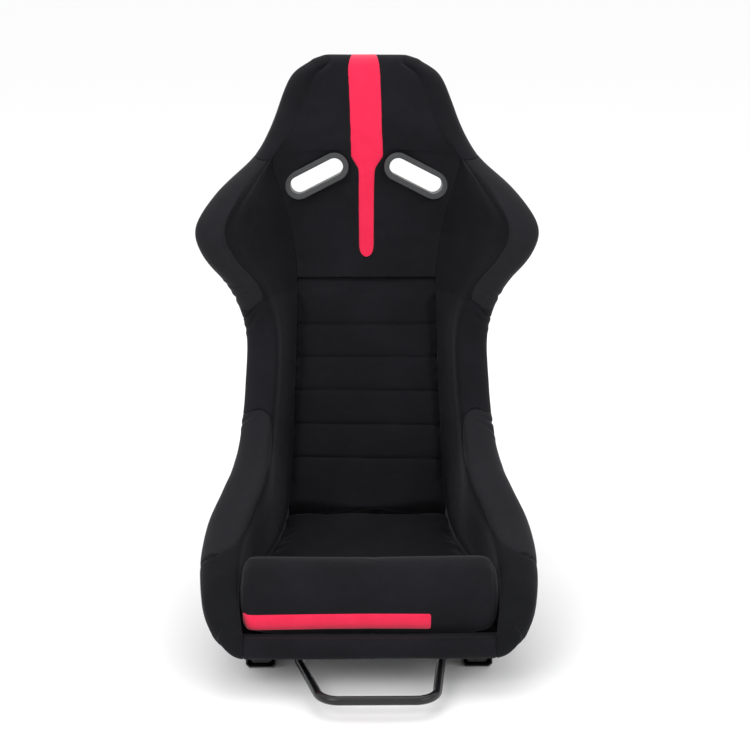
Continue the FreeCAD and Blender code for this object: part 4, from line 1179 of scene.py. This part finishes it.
def foam_rubber(name, color):
    """Open foam with visible cells."""
    m = Recipe(name)
    cells = m.add("ShaderNodeTexVoronoi")
    cells.inputs["Scale"].default_value = 420.0
    m.link(m.place, cells.inputs["Vector"])
    tone = m.mix(m.noise(20.0), color, tuple(c * 0.75 for c in color))
    m.set(Roughness=0.95)
    return m.finish(tone, None, m.bump(cells.outputs["Distance"], 0.0008, 0.8))


BLACK, BRUSHED_BLACK = (0.0068, 0.0068, 0.0086), (0.0100, 0.0100, 0.0126)
# Darker copy of the black velour for the hip and shoulder bolsters: painted shade on their inner walls.
PAINTED_SHADE_BLACK, BRUSHED_PAINTED_SHADE_BLACK = (0.0048, 0.0050, 0.0062), (0.0075, 0.0077, 0.0093)
# Lighter tint for the bolsters' outer bands: painted light.
PAINTED_LIGHT_BAND_GREY = (0.022, 0.0205, 0.0242)
RED, DEEP_RED = (0.97, 0.021, 0.088), (0.90, 0.015, 0.070)

MATERIALS = {
    "cover_cloth": velour("velour_inner", BLACK, BRUSHED_BLACK, 0.10),
    # Bolster velour: painted shade on the inner walls, painted light on the outer band.
    "bolster_cloth": velour("velour_outer_painted_shade_and_light", PAINTED_SHADE_BLACK, BRUSHED_PAINTED_SHADE_BLACK, 0.10, PAINTED_LIGHT_BAND_GREY),
    "stripe_cloth": woven("stripe_cloth", RED, DEEP_RED),
    "shell": gelcoat("black_gelcoat", (0.006, 0.006, 0.007)),
    "bezel": hard_plastic("bezel_plastic", (0.029, 0.030, 0.032), 0.42, 700.0),
    "trim": hard_plastic("trim_rubber", (0.012, 0.012, 0.012), 0.6, 300.0),
    "cap_plastic": hard_plastic("cap_plastic", (0.012, 0.012, 0.013), 0.5, 500.0),
    "nylon": hard_plastic("nylon_white", (0.6, 0.58, 0.5), 0.45, 400.0),
    "hook_tape": velour("hook_tape", (0.01, 0.01, 0.01), (0.03, 0.03, 0.03), 0.3),
    "rail_steel": metal("rail_black_zinc", (0.06, 0.06, 0.062), 0.34, metallic=0.85),
    "rack_steel": metal("rack_zinc", (0.42, 0.42, 0.40), 0.32),
    "ball_steel": metal("ball_steel", (0.7, 0.7, 0.7), 0.12),
    "fastener": metal("fastener_black", (0.09, 0.09, 0.095), 0.36),
    "spring_steel": metal("spring_steel", (0.38, 0.37, 0.35), 0.28),
    "bar_paint": gelcoat("bar_black_paint", (0.004, 0.004, 0.005)),
    "foam": foam_rubber("foam", (0.62, 0.55, 0.30)),
}


def dress(obj, material_slot):
    """Gives an object the material of a record slot."""
    obj.data.materials.clear()
    obj.data.materials.append(MATERIALS[material_slot])


SLOT_OF = {part["node"]: part["material_slot"] for part in frame["record"]["subparts"]}


def dress_frame():
    """Carried-over CAD parts keep their shape and take their procedural material."""
    for node, obj in frame["nodes"].items():
        dress(obj, SLOT_OF[node])


def stand_for(obj, material_slot, *nodes):
    """A piece takes a material slot and is shown instead of CAD nodes."""
    dress(obj, material_slot)
    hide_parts(*nodes)


def keep(obj, material_slot, *nodes):
    """A soft piece that rides on the seat and is shown instead of its CAD nodes."""
    stand_for(obj, material_slot, *nodes)
    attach(obj, "seat")
    return obj


# ---- build
def build_padding():
    """Covers glued on the shell, their hem beads and the head stripe."""
    for side, tag in ((1, "right"), (-1, "left")):
        keep(hip_pad(side, "hip_cover_" + tag), "bolster_cloth", "hip_bolster_" + tag)
        keep(waist_pad(side, "waist_cover_" + tag), "cover_cloth", "waist_bolster_" + tag)
        keep(shoulder_pad(side, "shoulder_cover_" + tag), "bolster_cloth", "shoulder_bolster_" + tag)
        keep(trim_bead("hem_bead_" + tag, side), "trim", "edge_trim_" + tag)
    keep(upper_back_pad("upper_back_cover"), "cover_cloth", "upper_back_pad")
    head = keep(head_pad("head_cover"), "cover_cloth", "head_pad")
    keep(lip_pad("front_lip_cover"), "cover_cloth", "front_lip_pad")
    keep(head_stripe("head_stripe_panel", head), "stripe_cloth", "head_stripe")


def build_cushions():
    """Loose cushions and the bolster's stripe."""
    keep(seat_cushion("seat_cushion"), "cover_cloth", "seat_cushion_cover", "seat_cushion_foam")
    keep(back_cushion("back_cushion"), "cover_cloth", "back_cushion_cover", "back_cushion_foam")
    roll = keep(thigh_roll("front_bolster"), "cover_cloth", "thigh_roll_cover", "thigh_roll_foam")
    keep(roll_stripe("front_bolster_stripe", roll), "stripe_cloth", "thigh_stripe")


def build_springs():
    """Return springs between the seat's bracket and the latch lever, copied from the CAD part and shown in
    its place.
    """
    for tag in ("left", "right"):
        node = "return_spring_" + tag
        spring = add_object("lever_spring_" + tag, frame["nodes"][node].data.copy())
        stand_for(spring, SLOT_OF[node], node)
        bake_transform(spring)


# ---- studio
CAMERA_TARGET = Vector((0.0115, 0.005, 0.4216))
CAMERA_DISTANCE = 3.0
CAMERA_ELEVATION = math.radians(16.5)
CAMERA_YAW = math.radians(-0.7)
CAMERA_LENS = 89.4
LIGHTS_FACE = Vector((0.0, 0.0, 0.45))
# Soft lights: name, place, power and size.
LIGHTS = (
    ("key", (-1.6, -2.6, 2.6), 34.0, 1.8),
    ("fill", (2.2, -2.2, 1.8), 16.0, 2.2),
    ("top", (0.0, 0.4, 3.2), 20.0, 2.4),
)
FLOOR_HALF = 40.0
FLOOR_DROP = 0.0005  # keeps the floor clear of the rails' undersides


def build_studio():
    """White floor and surroundings, and soft lights."""
    outline = ((-1, -1), (1, -1), (1, 1), (-1, 1))
    corners = [(x * FLOOR_HALF, y * FLOOR_HALF, -FLOOR_DROP) for x, y in outline]
    floor = mesh_object("floor", corners, [(0, 1, 2, 3)])
    m = Recipe("floor_paper")
    m.set(Roughness=0.9, Base_Color=(0.97, 0.97, 0.97, 1))
    floor.data.materials.append(m.material)

    world = bpy.data.worlds.new("studio")
    world.use_nodes = True
    world.node_tree.nodes["Background"].inputs["Color"].default_value = (1, 1, 1, 1)
    world.node_tree.nodes["Background"].inputs["Strength"].default_value = 1.0
    bpy.context.scene.world = world

    for name, place, power, size in LIGHTS:
        light = bpy.data.lights.new(name, "AREA")
        light.energy = power
        light.size = size
        lamp = add_object(name, light)
        lamp.location = place
        lamp.rotation_euler = (LIGHTS_FACE - lamp.location).to_track_quat("-Z", "Y").to_euler()


def build_camera():
    """Long lens from slightly above, almost straight in front."""
    data = bpy.data.cameras.new("camera")
    data.lens = CAMERA_LENS
    data.sensor_width = 36.0
    camera = add_object("camera", data)
    level = CAMERA_DISTANCE * math.cos(CAMERA_ELEVATION)
    offset = Vector((level * math.sin(CAMERA_YAW), -level * math.cos(CAMERA_YAW),
                     CAMERA_DISTANCE * math.sin(CAMERA_ELEVATION)))
    camera.location = CAMERA_TARGET + offset
    camera.rotation_euler = (-offset).to_track_quat("-Z", "Y").to_euler()
    bpy.context.scene.camera = camera
    bpy.context.scene.view_settings.view_transform = "Standard"


dress_frame()
build_padding()
build_cushions()
build_springs()
build_studio()
build_camera()
